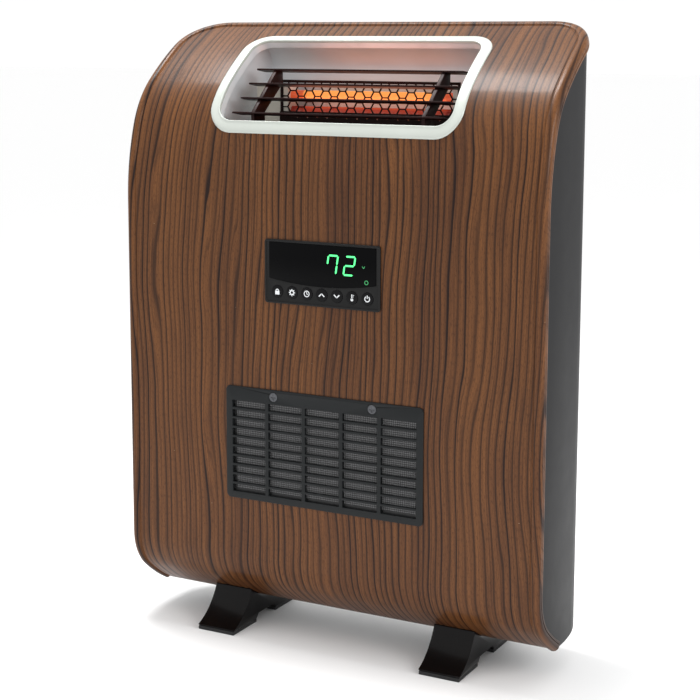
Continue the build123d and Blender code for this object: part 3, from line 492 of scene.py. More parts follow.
WALNUT = material("walnut_film", "walnut", {},
                  specks={"Speck Color": linear(196, 176, 150), "Scale": 46.0, "Amount": 0.022},
                  Specular_IOR_Level=0.14, Coat_Weight=0.14, Coat_Roughness=0.16)
GREY = material("grey_casing", "moulded", {
    "Color": linear(33, 33, 34), "Color Shift": 0.12, "Roughness": 0.42, "Roughness Shift": 0.08,
    "Grain Scale": 1500.0, "Grain Height": 0.14}, Specular_IOR_Level=0.12)
PEARL = material("pearl_trim", "moulded", {
    "Color": linear(190, 195, 188), "Color Shift": 0.12, "Roughness": 0.34, "Roughness Shift": 0.08,
    "Grain Scale": 500.0, "Grain Height": 0.05}, Metallic=0.2, Specular_IOR_Level=0.3, Coat_Weight=0.3,
    Coat_Roughness=0.15)
# the edge colours of the rolled finishes below lighten sharp edges: partly wear and partly a painted
# highlight
POLISHED = material("polished_sheet", "rolled", {
    "Color": linear(214, 218, 221), "Edge Color": linear(235, 235, 235), "Roughness": 0.5,
    "Roughness Shift": 0.15, "Streak Height": 0.12}, Metallic=0.45)
LOUVRE = material("louvre_enamel", "rolled", {
    "Color": linear(30, 10, 9), "Edge Color": linear(52, 26, 22), "Roughness": 0.42,
    "Roughness Shift": 0.12, "Streak Height": 0.04}, Metallic=0.1, Specular_IOR_Level=0.15)
DARK_SHEET = material("dark_sheet", "rolled", {
    "Color": linear(24, 10, 8), "Edge Color": linear(44, 22, 18), "Roughness": 0.6,
    "Roughness Shift": 0.12, "Streak Height": 0.08}, Metallic=0.1, Specular_IOR_Level=0.15)
GALVANISED = material("galvanised", "rolled", {
    "Color": linear(160, 163, 167), "Edge Color": linear(190, 190, 190), "Roughness": 0.42,
    "Roughness Shift": 0.2, "Streak Height": 0.15}, Metallic=1.0)
STEEL = material("zinc_steel", "rolled", {
    "Color": linear(150, 152, 156), "Edge Color": linear(200, 200, 200), "Roughness": 0.3,
    "Roughness Shift": 0.15, "Streak Height": 0.1}, Metallic=1.0)
COVER_PAINT = material("cover_paint", "moulded", {
    "Color": linear(58, 59, 61), "Color Shift": 0.12, "Roughness": 0.5, "Roughness Shift": 0.1,
    "Grain Scale": 2200.0, "Grain Height": 0.35}, Specular_IOR_Level=0.45)
CHARCOAL = material("charcoal_plastic", "moulded", {
    "Color": linear(28, 30, 31), "Color Shift": 0.15, "Roughness": 0.34, "Roughness Shift": 0.1,
    "Grain Scale": 1800.0, "Grain Height": 0.2}, Specular_IOR_Level=0.16)
BEZEL = material("bezel_plastic", "moulded", {
    "Color": linear(26, 26, 26), "Color Shift": 0.15, "Roughness": 0.3, "Roughness Shift": 0.08,
    "Grain Scale": 1800.0, "Grain Height": 0.1}, Specular_IOR_Level=0.16)
KEYCAP = material("key_plastic", "moulded", {
    "Color": linear(14, 14, 15), "Color Shift": 0.1, "Roughness": 0.22, "Roughness Shift": 0.06,
    "Grain Scale": 1500.0, "Grain Height": 0.05}, Specular_IOR_Level=0.12)
WINDOW = material("display_lens", "moulded", {
    "Color": linear(6, 6, 7), "Color Shift": 0.3, "Roughness": 0.14, "Roughness Shift": 0.1,
    "Grain Scale": 300.0, "Grain Height": 0.01}, Specular_IOR_Level=0.05)
GLOSS_BLACK = material("gloss_black", "moulded", {
    "Color": linear(12, 10, 10), "Color Shift": 0.2, "Roughness": 0.24, "Roughness Shift": 0.08,
    "Grain Scale": 900.0, "Grain Height": 0.03}, Specular_IOR_Level=0.1, Coat_Weight=0.12, Coat_Roughness=0.1)
SCREW_BLACK = material("black_screw", "moulded", {
    "Color": linear(84, 85, 88), "Color Shift": 0.1, "Roughness": 0.24, "Roughness Shift": 0.06,
    "Grain Scale": 900.0, "Grain Height": 0.02}, Metallic=0.9, Specular_IOR_Level=0.3)
BLACK_PLASTIC = material("black_plastic", "moulded", {
    "Color": linear(30, 30, 31), "Color Shift": 0.15, "Roughness": 0.45, "Roughness Shift": 0.1,
    "Grain Scale": 1600.0, "Grain Height": 0.2})
RUBBER = material("rubber", "moulded", {
    "Color": linear(24, 24, 25), "Color Shift": 0.2, "Roughness": 0.75, "Roughness Shift": 0.12,
    "Grain Scale": 1200.0, "Grain Height": 0.4})
ICON = material("icon_ink", "moulded", {
    "Color": linear(225, 228, 230), "Color Shift": 0.05, "Roughness": 0.5, "Roughness Shift": 0.05,
    "Grain Scale": 900.0, "Grain Height": 0.02})
SCREEN = material("woven_screen", "woven", {"Thread": linear(118, 118, 119), "Gap": linear(46, 46, 47)},
                  Specular_IOR_Level=0.3)
CERAMIC = material("ceramic", "moulded", {
    "Color": linear(222, 216, 202), "Color Shift": 0.12, "Roughness": 0.6, "Roughness Shift": 0.1,
    "Grain Scale": 700.0, "Grain Height": 0.25})
BOARD = material("circuit_board", "moulded", {
    "Color": linear(24, 92, 56), "Color Shift": 0.3, "Roughness": 0.4, "Roughness Shift": 0.1,
    "Grain Scale": 400.0, "Grain Height": 0.1})
DIGIT = material("lit_digit", "moulded", {
    "Color": linear(60, 200, 110), "Color Shift": 0.05, "Roughness": 0.5, "Roughness Shift": 0.02,
    "Grain Scale": 900.0, "Grain Height": 0.0},
    Emission_Color=(0.10, 1.0, 0.26, 1.0), Emission_Strength=1.25)
LAMP = material("small_lamp", "moulded", {
    "Color": linear(40, 120, 70), "Color Shift": 0.05, "Roughness": 0.5, "Roughness Shift": 0.02,
    "Grain Scale": 900.0, "Grain Height": 0.0},
    Emission_Color=(0.10, 0.8, 0.26, 1.0), Emission_Strength=0.28)
HOT_COIL = material("hot_coil", "rolled", {"Color": linear(160, 60, 20), "Roughness": 0.5},
                    Emission_Color=(1.0, 0.5, 0.13, 1.0), Emission_Strength=4.0)
WARM_COIL = material("warm_coil", "rolled", {"Color": linear(120, 30, 16), "Roughness": 0.5},
                     Emission_Color=(1.0, 0.12, 0.05, 1.0), Emission_Strength=1.2)
HOT_TUBE = material("hot_tube", "moulded", {
    "Color": linear(190, 96, 48), "Color Shift": 0.2, "Roughness": 0.12, "Roughness Shift": 0.05,
    "Grain Scale": 300.0, "Grain Height": 0.02},
    glow=hot_tube_glow((1.0, 0.42, 0.09, 1.0), (0.42, 0.05, 0.02, 1.0), half_lit=0.098),
    Emission_Strength=0.72)
WARM_TUBE = material("warm_tube", "moulded", {
    "Color": linear(130, 40, 28), "Color Shift": 0.2, "Roughness": 0.12, "Roughness Shift": 0.05,
    "Grain Scale": 300.0, "Grain Height": 0.02},
    glow=hot_tube_glow((0.55, 0.07, 0.035, 1.0), (0.12, 0.01, 0.006, 1.0), half_lit=0.104),
    Emission_Strength=0.42)


# ---- the casing's profile, seen from the side ----
SKIN, BEAD_PROUD = 3.0 * MM, 2.0 * MM
CORNER_R = 50.0 * MM
TOP_BENDS = [(260.0 * MM, 18.0), (105.0 * MM, 48.0), (350.0 * MM, None)]
TOE_BENDS = [(56.0 * MM, 49.0), (220.0 * MM, None)]
TOE_Z, BELLY_Z = 99.0 * MM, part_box("front_shell")[0].z
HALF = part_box("front_shell")[1].x
FRONT_Y, BACK_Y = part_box("front_shell")[0].y + BEAD_PROUD, cad_high.y
CORNER_X, CORNER_Y = HALF - CORNER_R, BACK_Y - CORNER_R
CROWN_Z = cad_high.z + 2.0 * MM         # before its edge is rounded


def arcs(start_z, bends, side):
    """(centre, radius, lean from, lean to) of arcs that follow on smoothly from the straight front."""
    found, lean, centre = [], 0.0, None
    for radius, end in bends:
        if centre is None:
            centre = (FRONT_Y + radius, start_z)
        else:
            last = found[-1][1]
            centre = (centre[0] + (radius - last) * cos(radians(lean)),
                      centre[1] - (radius - last) * sin(radians(lean)))
        stop = None if end is None else side * end
        found.append((centre, radius, lean, stop))
        lean = stop
    return found


def brow_height():
    """Where the straight front ends, so that the raised edge reaches the crown's height at the back."""
    centre, radius, _, _ = arcs(0.0, TOP_BENDS, 1)[-1]
    return CROWN_Z - centre[1] - sqrt((radius + BEAD_PROUD) ** 2 - (centre[0] - BACK_Y) ** 2)


BROW_Z = brow_height()
TOP = arcs(BROW_Z, TOP_BENDS, 1)
TOE = arcs(TOE_Z, TOE_BENDS, -1)


def on_arc(arc, lean):
    """Point and outward normal (y, z, ny, nz) of an arc, where it leans by so many degrees."""
    (cy, cz), radius = arc[0], arc[1]
    ny, nz = -cos(radians(lean)), sin(radians(lean))
    return cy + radius * ny, cz + radius * nz, ny, nz


def on_crown(y):
    """The last top arc at depth y."""
    (cy, _), radius = TOP[-1][0], TOP[-1][1]
    return on_arc(TOP[-1], degrees(acos((cy - y) / radius)))


def standing_off(y, z):
    """How far a point stands outside the casing's front, and the outward normal there."""
    if z <= BROW_Z:
        return FRONT_Y - y, -1.0, 0.0
    for (cy, cz), radius, _, end in TOP:
        lean = degrees(atan2(z - cz, cy - y))
        if end is None or lean <= end:
            length = hypot(y - cy, z - cz)
            return length - radius, (y - cy) / length, (z - cz) / length
    return 0.0, -1.0, 0.0


def spaced(a, b, step):
    count = max(1, ceil(abs(b - a) / step))
    return [a + (b - a) * k / count for k in range(count + 1)]


def profile_rows():
    """Stations up the casing's front from the toe to where the rear corners start."""
    (cy, cz), radius = TOE[-1][0], TOE[-1][1]
    lowest = -degrees(atan2(cz - BELLY_Z, sqrt(radius ** 2 - (cz - BELLY_Z) ** 2)))
    rows = [on_arc(TOE[1], lean) for lean in spaced(lowest, TOE[1][2], 3.0)]
    rows += [on_arc(TOE[0], lean) for lean in spaced(TOE[0][3], 0.0, 5.0)[1:]]
    rows += [(FRONT_Y, z, -1.0, 0.0) for z in spaced(TOE_Z, BROW_Z, 0.02)[1:-1]]
    rows += [on_arc(TOP[0], lean) for lean in spaced(0.0, TOP[0][3], 2.0)]
    rows += [on_arc(TOP[1], lean) for lean in spaced(TOP[1][2], TOP[1][3], 3.0)[1:]]
    start = on_arc(TOP[2], TOP[2][2])[0]
    rows += [on_crown(y) for y in spaced(start, CORNER_Y, 0.006)[1:]]
    return rows


RIM_IN = 14.0 * MM
# distance from the casing's edge, and height over the field, from the inside round to the field
RIM_PATH = [(14.0, -3.0), (4.5, -3.0), (3.2, -4.2), (3.0, -8.6), (0.5, -8.8), (0.0, -8.3), (0.0, -6.3),
            (0.25, -5.95), (0.8, -5.8), (0.8, -5.3), (0.25, -5.1), (0.0, -4.8), (0.0, -4.2)]
RIM_PATH += [(6.2 - 6.2 * cos(radians(a)), -4.2 + 6.2 * sin(radians(a))) for a in range(15, 91, 15)]
RIM_PATH += [(7.3, 1.95), (8.3, 1.7), (9.1, 1.15), (9.7, 0.4), (10.1, -0.15), (10.5, -0.42),
             (10.9, -0.35), (11.4, -0.08), (12.2, 0.0), (14.0, 0.0)]
RIM_PATH = [(d * MM, h * MM) for d, h in RIM_PATH]
COLUMNS = [k / 14 for k in range(-14, 15)]
CORNER_TURNS = [90.0 * k / 14 for k in range(1, 15)]


def lifted(x, row, height):
    """Point at x over a station of the profile, kept in front of the casing's back."""
    y, z, ny, nz = row
    return Vector((x, min(y + ny * height, BACK_Y), z + nz * height))


def shell_skin():
    """The wood-grain shell: front, toe and top with its raised edge, as one closed skin."""
    rows = []
    reach = CORNER_R - RIM_IN
    corner_rows = [on_crown(CORNER_Y + reach * sin(radians(turn))) for turn in CORNER_TURNS]
    stations = [(row, None) for row in profile_rows()] + list(zip(corner_rows, CORNER_TURNS))
    for row, turn in stations:
        if turn is None:
            left = [lifted(-HALF + d, row, h) for d, h in RIM_PATH]
            inner_x = HALF - RIM_IN
        else:
            c, s = cos(radians(turn)), sin(radians(turn))
            left = []
            for d, h in RIM_PATH:
                edge_row = on_crown(CORNER_Y + (CORNER_R - d) * s)
                left.append(lifted(-CORNER_X - (CORNER_R - d) * c, edge_row, h))
            inner_x = CORNER_X + reach * c
        right = [Vector((-p.x, p.y, p.z)) for p in reversed(left)]
        outer = [lifted(w * inner_x, row, 0.0) for w in COLUMNS[1:-1]]
        inner = [lifted(-w * inner_x, row, -SKIN) for w in COLUMNS[1:]]
        rows.append(left + outer + right + inner)
    body = grid("wood_shell", rows)
    back = [[lifted(w * CORNER_X, on_crown(BACK_Y - d), h) for w in COLUMNS] for d, h in RIM_PATH]
    rear = grid("rear_rim", back)
    shell = join([body, rear])

    def close(mesh):
        bmesh.ops.remove_doubles(mesh, verts=mesh.verts, dist=MERGE)
        bmesh.ops.holes_fill(mesh, edges=[e for e in mesh.edges if e.is_boundary])
        bmesh.ops.recalc_face_normals(mesh, faces=mesh.faces)
    with_bmesh(shell, close)
    return shell


# ---- the slanted outlet ----
OUTLET_HALF, TRIM_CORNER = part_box("outlet_trim")[1].x, 28.0 * MM
FOOT_Z, HEAD_Z = 541.0 * MM, 640.0 * MM


def surface_y(z):
    """Y of the casing's front at height z."""
    for (cy, cz), radius, _, end in TOP:
        lean = degrees(atan2(z - cz, sqrt(max(0.0, radius ** 2 - (z - cz) ** 2))))
        if end is None or lean <= end:
            return cy - radius * cos(radians(lean))
    return FRONT_Y


foot_point = Vector((0, surface_y(FOOT_Z), FOOT_Z))
head_point = Vector((0, surface_y(HEAD_Z), HEAD_Z))
OUTLET_UP = (head_point - foot_point).normalized()
OUTLET_OUT = Vector((0, -OUTLET_UP.z, OUTLET_UP.y))
OUTLET_MID = (foot_point + head_point) / 2
OUTLET_RUN = (head_point - foot_point).length


def on_outlet(u, v, height):
    """Point over the outlet's plane at (u, v), lifted square to it until it stands at that height."""
    point = OUTLET_MID + Vector((u, 0, 0)) + OUTLET_UP * v
    for _ in range(8):
        off, ny, nz = standing_off(point.y, point.z)
        point = point + OUTLET_OUT * ((height - off) / (OUTLET_OUT.y * ny + OUTLET_OUT.z * nz))
    return point


def rounded_outline(half_u, half_v, corner):
    """Points round a rounded rectangle, always the same count of them."""
    straight_u, straight_v, turns = 14, 12, 9
    points = []
    sides = [((1, 1), 0, straight_u), ((-1, 1), 90, straight_v),
             ((-1, -1), 180, straight_u), ((1, -1), 270, straight_v)]
    for (su, sv), start, straight in sides:
        cu, cv = su * (half_u - corner), sv * (half_v - corner)
        for k in range(turns + 1):
            a = radians(start + 90 * k / turns)
            points.append((cu + corner * cos(a), cv + corner * sin(a)))
        a = radians(start + 90)
        last = points[-1]
        nu, nv = {0: (-1, 1), 90: (-1, -1), 180: (1, -1), 270: (1, 1)}[start]
        following = (nu * (half_u - corner) + corner * cos(a), nv * (half_v - corner) + corner * sin(a))
        for k in range(1, straight):
            t = k / straight
            points.append((last[0] + (following[0] - last[0]) * t, last[1] + (following[1] - last[1]) * t))
    return points


# inset from the outlet's outer edge, and height over the casing
TRIM_PATH = [(0.6, -3.0), (0.1, -1.0), (0.0, 0.1), (0.25, 0.7), (0.8, 1.15), (1.8, 1.45), (3.4, 1.6),
             (5.4, 1.65), (7.4, 1.6), (8.8, 1.62), (9.5, 1.9), (10.0, 2.15), (10.5, 2.15), (10.95, 1.8),
             (11.2, 1.1), (11.25, 0.0), (11.3, -1.2), (10.4, -1.6), (9.6, -2.4), (6.0, -2.6), (0.6, -3.0)]
COLLAR_PATH = [(11.0, -1.3), (11.35, -1.3), (11.8, -8.2), (11.0, -8.4), (10.4, -7.0), (10.2, -1.8),
               (11.0, -1.3)]


def outlet_ring(name, path):
    """Closed band round the outlet with the given section."""
    rows = []
    for inset, height in path:
        t = inset * MM
        outline = rounded_outline(OUTLET_HALF - t, OUTLET_RUN / 2 - t, TRIM_CORNER - t)
        ring = [on_outlet(u, v, height * MM) for u, v in outline]
        rows.append(ring + [ring[0]])
    piece = grid(name, rows)
    weld(piece)
    return piece


def outlet_tool(grow):
    """Rounded slanted bar that opens the outlet."""
    turn = Matrix((
        (1, 0, 0, 0),
        (0, -OUTLET_OUT.y, OUTLET_UP.y, 0),
        (0, -OUTLET_OUT.z, OUTLET_UP.z, 0),
        (0, 0, 0, 1)))
    size = (2 * (OUTLET_HALF + grow), 0.12, OUTLET_RUN + 2 * grow)
    return rounded_bar("outlet_tool", size, OUTLET_MID, TRIM_CORNER + grow, turn)


def window_tool(node, edge, corner):
    """Upright bar through the front, smaller than the node's box by edge all round."""
    low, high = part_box(node)
    size = (high.x - low.x - 2 * edge, 0.02, high.z - low.z - 2 * edge)
    return rounded_bar("window_tool", size, Vector((0, FRONT_Y, (low.z + high.z) / 2)), corner)


shell = shell_skin()
cut(shell, outlet_tool(-0.4 * MM))
cut(shell, window_tool("display_bezel", 3.0 * MM, 2.0 * MM))
cut(shell, window_tool("intake_grille", 4.0 * MM, 3.0 * MM))
smooth(shell, 30)
declare(shell, WALNUT, "heater", ["front_shell"])

trim = outlet_ring("outlet_band", TRIM_PATH)
smooth(trim, 60)
declare(trim, PEARL, "heater", ["outlet_trim"])
collar = outlet_ring("outlet_collar", COLLAR_PATH)
smooth(collar, 50)
declare(collar, POLISHED, "heater")


def lower_baffle():
    """Dark strip with a row of small holes under the lowest louvre, in front of the guard."""
    low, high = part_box("element_guard")
    thick, tall, corner = 0.8 * MM, 13.0 * MM, 1.0 * MM
    hole_r, hole_pitch, hole_count, first_hole_x = 1.0 * MM, 12.0 * MM, 17, -96.0 * MM
    y = low.y - 1.2 * MM
    place = Vector((0, y, low.z + 6.0 * MM))
    strip = rounded_bar("lower_baffle", (high.x - low.x, thick, tall), place, corner)
    bpy.ops.object.select_all(action="DESELECT")
    bpy.ops.mesh.primitive_cylinder_add(vertices=16, radius=hole_r, depth=6.0 * MM)
    drill = bpy.context.active_object
    first_hole = Matrix.Translation((first_hole_x, y, low.z + 6.5 * MM))
    drill.matrix_world = first_hole @ Matrix.Rotation(pi / 2, 4, "X")
    settle(drill)
    finish_with(drill, "ARRAY", count=hole_count, use_relative_offset=False, use_constant_offset=True,
                constant_offset_displace=(hole_pitch, 0, 0))
    cut(strip, drill)
    smooth(strip)
    return declare(strip, DARK_SHEET, "heater")


lower_baffle()

# ---- CAD nodes that keep their shape, with softened edges ----
dressed("rear_tub", GREY, 0.6 * MM)
dressed("reflector", POLISHED, 0)
dressed("chamber_floor", DARK_SHEET, 0)
for k in range(1, 5):
    dressed(f"louvre_{k}", LOUVRE, 0.35 * MM, 3)
for side in ("left", "right"):
    dressed(f"louvre_bracket_{side}", LOUVRE, 0.25 * MM)
    dressed(f"foot_{side}", GLOSS_BLACK, 0.9 * MM, 3)
dressed("foot_pads", RUBBER, 0.6 * MM, 3)
dressed("display_bezel", BEZEL, 0.35 * MM, 3)
dressed("display_window", WINDOW, 0.15 * MM)
dressed("intake_grille", CHARCOAL, 0.3 * MM, join_flats=False)
dressed("grille_screws", SCREW_BLACK, 0.2 * MM)
dressed("rear_cover_screws", STEEL, 0.3 * MM)
dressed("cord_inlet", RUBBER, 0.5 * MM, 3)
dressed("rocker_frame", BLACK_PLASTIC, 0.4 * MM, 3)
dressed("power_rocker", GLOSS_BLACK, 0.4 * MM, 3)
dressed("element_guard", DARK_SHEET, 0)

KEYS = ["lock", "light", "timer", "up", "down", "mode", "power"]
for name in KEYS:
    dressed(f"key_{name}", KEYCAP, 0.3 * MM, 3)


# ---- glowing elements ----
def coil(name, node, finish):
    """Wound wire with straight leads, as a curve made a mesh."""
    low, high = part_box(node)
    middle = (low + high) / 2
    turns, points_per_turn, wire, reach = 64, 8, 0.45 * MM, 82.0 * MM
    radius = (high.z - low.z) / 2 - wire
    curve = bpy.data.curves.new(name, "CURVE")
    curve.dimensions = "3D"
    curve.bevel_depth, curve.bevel_resolution = wire, 1
    points = []
    steps = turns * points_per_turn
    for k in range(steps + 1):
        a = 2 * pi * k / points_per_turn
        x = -reach + 2 * reach * k / steps
        points.append((x, middle.y + radius * cos(a), middle.z + radius * sin(a)))
    points = [(low.x, middle.y, middle.z)] + points + [(high.x, middle.y, middle.z)]
    spline = curve.splines.new("POLY")
    spline.points.add(len(points) - 1)
    for point, place in zip(spline.points, points):
        point.co = (*place, 1.0)
    piece = bpy.data.objects.new(name, curve)
    bpy.context.scene.collection.objects.link(piece)
    select_only(piece)
    bpy.ops.object.convert(target="MESH")
    smooth(piece, 60)
    return declare(piece, finish, "heater", [node])


coil("upper_coil", "heating_coil_upper", HOT_COIL)
coil("lower_coil", "heating_coil_lower", WARM_COIL)


# ---- display: digits, marks and key icons ----
digit_low, digit_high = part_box("display_digits")
lamp_low, lamp_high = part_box("status_lamps")
GLASS_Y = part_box("display_window")[0].y
DIGIT_Z = (digit_low.z + digit_high.z) / 2
DIGIT_WIDE, DIGIT_HIGH, DIGIT_BAR = 12.6 * MM, 20.5 * MM, 1.8 * MM
DIGIT_LEAN = 0.15           # sideways per height
INK_SUNK, INK_THICK, LAMP_THICK = 0.02 * MM, 0.08 * MM, 0.06 * MM


def flat_piece(name, outlines, face_y, thickness, finish, body, stands_for=()):
    """Thin shapes standing on the front face at face_y, from closed outlines of (x, z) points."""
    mesh = bmesh.new()
    for outline in outlines:
        ring = [mesh.verts.new((x, face_y + INK_SUNK, z)) for x, z in outline]
        face = mesh.faces.new(ring)
        made = bmesh.ops.extrude_face_region(mesh, geom=[face])
        for item in made["geom"]:
            if isinstance(item, bmesh.types.BMVert):
                item.co.y -= thickness
    bmesh.ops.recalc_face_normals(mesh, faces=mesh.faces)
    data = bpy.data.meshes.new(name)
    mesh.to_mesh(data)
    mesh.free()
    piece = bpy.data.objects.new(name, data)
    bpy.context.scene.collection.objects.link(piece)
    return declare(piece, finish, body, stands_for)


def bar_outline(x, z, long, wide, upright):
    """Pointed bar of a lit digit."""
    a, b = long / 2, wide / 2
    pointed = [(-a, 0), (-a + b, b), (a - b, b), (a, 0), (a - b, -b), (-a + b, -b)]
    return [(x + (q if upright else p), z + (p if upright else q)) for p, q in pointed]


def lit_digit(x, z, names):
    """Outlines of a leaning digit's lit bars, named a to g in the usual order."""
    half_w, half_h = (DIGIT_WIDE - DIGIT_BAR) / 2, (DIGIT_HIGH - DIGIT_BAR) / 2
    spots = {"a": (0, half_h, 0), "g": (0, 0, 0), "d": (0, -half_h, 0), "b": (half_w, half_h / 2, 1),
             "c": (half_w, -half_h / 2, 1), "f": (-half_w, half_h / 2, 1), "e": (-half_w, -half_h / 2, 1)}
    found = []
    for name in names:
        dx, dz, upright = spots[name]
        long = (half_h if upright else 2 * half_w) - 0.5 * MM
        outline = bar_outline(dx, dz, long, DIGIT_BAR, upright)
        found.append([(x + px + pz * DIGIT_LEAN, z + pz) for px, pz in outline])
    return found


def disc(x, z, r, count=24):
    return [(x + r * cos(2 * pi * k / count), z + r * sin(2 * pi * k / count)) for k in range(count)]


def arc_band(x, z, r, wide, start, end, count=20):
    """Closed outlines of short pieces that follow an arc."""
    found = []
    for k in range(count):
        a, b = (radians(start + (end - start) * (k + t) / count) for t in (0, 1))
        near, far = r - wide / 2, r + wide / 2
        found.append([(x + far * cos(a), z + far * sin(a)), (x + far * cos(b), z + far * sin(b)),
                      (x + near * cos(b), z + near * sin(b)), (x + near * cos(a), z + near * sin(a))])
    return found


def stroke(x0, z0, x1, z1, wide):
    """Straight bar between two points."""
    along = Vector((x1 - x0, z1 - z0)).normalized() * (wide / 2)
    side = Vector((-along.y, along.x))
    return [(x0 - side.x, z0 - side.y), (x1 - side.x, z1 - side.y),
            (x1 + side.x, z1 + side.y), (x0 + side.x, z0 + side.y)]


digits = lit_digit(12.0 * MM, DIGIT_Z, "abcf") + lit_digit(31.6 * MM, DIGIT_Z, "abged")
flat_piece("lit_digits", digits, GLASS_Y, INK_THICK, DIGIT, "heater", ["display_digits"])
marks = arc_band(lamp_high.x - 2.2 * MM, lamp_low.z + 2.2 * MM, 1.9 * MM, 0.7 * MM, 0, 360)
marks += [stroke(46.0 * MM, DIGIT_Z + 0.6 * MM, 47.6 * MM, DIGIT_Z - 1.6 * MM, 0.6 * MM),
          stroke(49.0 * MM, DIGIT_Z + 0.6 * MM, 47.6 * MM, DIGIT_Z - 1.6 * MM, 0.6 * MM)]
flat_piece("lamp_marks", marks, GLASS_Y, LAMP_THICK, LAMP, "heater", ["status_lamps"])


def key_icon(name, x, z):
    """Outlines of one key's generic sign."""
    m = MM
    if name == "lock":
        body = [(x - 2.5 * m, z - 3.2 * m), (x + 2.5 * m, z - 3.2 * m),
                (x + 2.5 * m, z + 0.6 * m), (x - 2.5 * m, z + 0.6 * m)]
        return [body] + arc_band(x, z + 0.7 * m, 1.6 * m, 0.9 * m, 0, 180, 12)
    if name == "light":
        rays = []
        for k in range(8):
            c, s = cos(radians(45 * k)), sin(radians(45 * k))
            rays.append(stroke(x + 2.5 * m * c, z + 2.5 * m * s, x + 3.6 * m * c, z + 3.6 * m * s, 1.0 * m))
        return arc_band(x, z, 2.0 * m, 1.1 * m, 0, 360) + rays
    if name == "timer":
        return arc_band(x, z, 2.9 * m, 0.9 * m, 0, 360) + [
            stroke(x, z, x, z + 2.0 * m, 0.8 * m), stroke(x, z, x + 1.5 * m, z - 0.6 * m, 0.8 * m)]
    if name in ("up", "down"):
        s = 1 if name == "up" else -1
        return [stroke(x - 3.1 * m, z - 1.5 * m * s, x + 0.25 * m, z + 1.6 * m * s, 1.2 * m),
                stroke(x + 3.1 * m, z - 1.5 * m * s, x - 0.25 * m, z + 1.6 * m * s, 1.2 * m)]
    if name == "mode":
        return [stroke(x, z - 1.6 * m, x, z + 3.4 * m, 1.1 * m), disc(x, z - 2.0 * m, 1.5 * m),
                stroke(x + 1.2 * m, z + 2.6 * m, x + 2.4 * m, z + 2.6 * m, 0.6 * m),
                stroke(x + 1.2 * m, z + 1.1 * m, x + 2.0 * m, z + 1.1 * m, 0.6 * m)]
    return arc_band(x, z, 2.7 * m, 1.0 * m, 125, 415) + [stroke(x, z + 0.4 * m, x, z + 3.6 * m, 1.0 * m)]


for name in KEYS:
    low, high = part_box(f"key_{name}")
    x, z = (low.x + high.x) / 2, (low.z + high.z) / 2
    flat_piece(f"icon_{name}", key_icon(name, x, z), low.y, INK_THICK, ICON, f"key_{name}")


# ---- woven screen behind the grille ----
def screen():
    """Crossing threads over a dark backing, in the filter's place."""
    low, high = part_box("filter_pad")
    pitch, thread_r = 2.1 * MM, 0.42 * MM
    pad_back, level_y, upright_y = 0.8 * MM, 0.45 * MM, 0.62 * MM
    bpy.ops.object.select_all(action="DESELECT")
    middle = (low + high) / 2
    size = high - low
    bpy.ops.mesh.primitive_cube_add(size=1.0, location=middle)
    pad = bpy.context.active_object
    pad.name = "filter_screen"
    pad.data.transform(Matrix.Diagonal((size.x, size.y - pad_back, size.z, 1.0)))
    pad.location.y += pad_back / 2
    settle(pad)
    pieces = [pad]
    for along_x in (True, False):
        span, start, end = (size.z, low.x, high.x) if along_x else (size.x, low.z, high.z)
        count = int(span / pitch)
        base = low.z if along_x else low.x
        y = low.y + (level_y if along_x else upright_y)
        bpy.ops.mesh.primitive_cylinder_add(vertices=6, radius=thread_r, depth=end - start)
        thread = bpy.context.active_object
        turn = Matrix.Rotation(pi / 2, 4, "Y") if along_x else Matrix.Identity(4)
        first = base + (span - (count - 1) * pitch) / 2
        if along_x:
            place, step = (middle.x, y, first), Vector((0, 0, pitch))
        else:
            place, step = (first, y, middle.z), Vector((pitch, 0, 0))
        thread.matrix_world = Matrix.Translation(place) @ turn
        settle(thread)
        finish_with(thread, "ARRAY", count=count, use_relative_offset=False, use_constant_offset=True,
                    constant_offset_displace=step)
        pieces.append(thread)
    piece = join(pieces)
    smooth(piece, 50)
    return declare(piece, SCREEN, "heater", ["filter_pad"])


screen()


# ---- rear cover and its pressed ribs ----
def rear_panel():
    """Flat painted cover with eased edges, and five low pressed ribs across its middle."""
    low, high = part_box("rear_cover")
    size = high - low
    cover = rounded_bar("rear_panel", size, (low + high) / 2, 6.0 * MM)
    soften(cover, 0.4 * MM, 3)
    smooth(cover, 50)
    declare(cover, COVER_PAINT, "heater", ["rear_cover"])
    rib_size, rib_corner = (240.0 * MM, 1.8 * MM, 9.0 * MM), 4.4 * MM
    pieces = []
    for share in (0.3, 0.4, 0.5, 0.6, 0.7):
        place = Vector((0, high.y, low.z + size.z * share))
        rib = rounded_bar("rib", rib_size, place, rib_corner)
        soften(rib, 0.8 * MM, 4)
        pieces.append(rib)
    ribs = join(pieces)
    ribs.name = "cover_ribs"
    smooth(ribs, 50)
    declare(ribs, COVER_PAINT, "heater")


rear_panel()

# ---- finishes for the CAD nodes that stay ----
PAINT = {
    "quartz_tube_upper": HOT_TUBE, "quartz_tube_lower": WARM_TUBE, "ceramic_cap_left": CERAMIC,
    "ceramic_cap_right": CERAMIC, "air_duct": GALVANISED, "blower_housing": GALVANISED,
    "mounting_plate": GALVANISED, "blower_shaft": STEEL, "blower_bush": STEEL, "board_standoffs": STEEL,
    "shell_screws": STEEL, "foot_screws": STEEL, "control_board": BOARD, "power_board": BOARD,
}
for name, node in nodes.items():
    node.data.materials.clear()
    node.data.materials.append(PAINT.get(name, BLACK_PLASTIC))


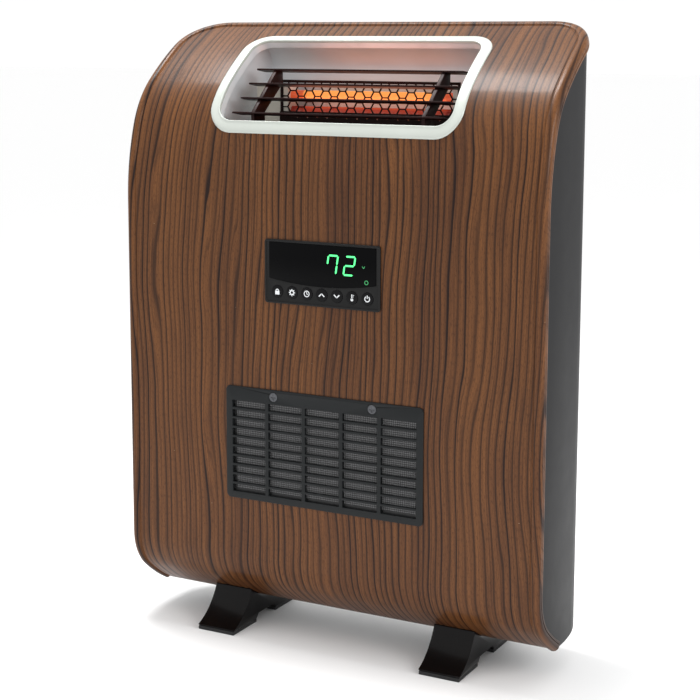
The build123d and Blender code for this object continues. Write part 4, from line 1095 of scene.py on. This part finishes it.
# ---- studio ----
def studio_floor():
    bpy.ops.object.select_all(action="DESELECT")
    bpy.ops.mesh.primitive_plane_add(size=60.0)
    floor = bpy.context.active_object
    floor.name = "studio_floor"
    made = bpy.data.materials.new("pale_floor")
    made.use_nodes = True
    shader = made.node_tree.nodes["Principled BSDF"]
    shader.inputs["Base Color"].default_value = (0.97, 0.97, 0.97, 1.0)
    shader.inputs["Roughness"].default_value = 0.9
    floor.data.materials.append(made)
    floor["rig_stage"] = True


def softbox(name, place, target, size, watts, colour=(1.0, 1.0, 1.0)):
    data = bpy.data.lights.new(name, "AREA")
    data.shape = "RECTANGLE"
    data.size, data.size_y = size
    data.energy = watts
    data.color = colour
    light = bpy.data.objects.new(name, data)
    bpy.context.scene.collection.objects.link(light)
    light.location = place
    light.rotation_euler = (Vector(target) - Vector(place)).to_track_quat("-Z", "Y").to_euler()


studio_floor()
SKY_STRENGTH = 1.02
world = bpy.data.worlds.new("studio")
bpy.context.scene.world = world
world.use_nodes = True
world.node_tree.nodes["Background"].inputs[0].default_value = (1.0, 1.0, 1.0, 1.0)
world.node_tree.nodes["Background"].inputs[1].default_value = SKY_STRENGTH
softbox("brow_light", (-0.32, 0.05, 1.75), (0.17, -0.03, 0.62), (0.3, 1.0), 22.0)
softbox("right_light", (2.1, -0.5, 1.25), (0.24, 0, 0.55), (1.0, 1.0), 18.0)
softbox("element_light", (0.0, 0.022, 0.572), (0, 0.045, 0.64), (0.17, 0.03), 0.045, (1.0, 0.38, 0.28))

CAMERA_PLACE = (0.7666, -1.4499, 0.6341)
CAMERA_YAW, CAMERA_DOWN, CAMERA_ROLL = radians(27.927), radians(8.304), radians(0.153)
camera_data = bpy.data.cameras.new("camera")
camera = bpy.data.objects.new("camera", camera_data)
bpy.context.scene.collection.objects.link(camera)
camera_data.sensor_width, camera_data.lens = 36.0, 81.33
camera_data.shift_x, camera_data.shift_y = -0.0044, -0.11
camera_data.clip_start, camera_data.clip_end = 0.05, 50.0
camera_turn = (Matrix.Rotation(CAMERA_YAW, 4, "Z") @ Matrix.Rotation(pi / 2 - CAMERA_DOWN, 4, "X")
               @ Matrix.Rotation(CAMERA_ROLL, 4, "Z"))
camera.matrix_world = Matrix.Translation(CAMERA_PLACE) @ camera_turn
bpy.context.scene.camera = camera
bpy.context.scene.view_settings.view_transform = "Standard"

low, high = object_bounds()
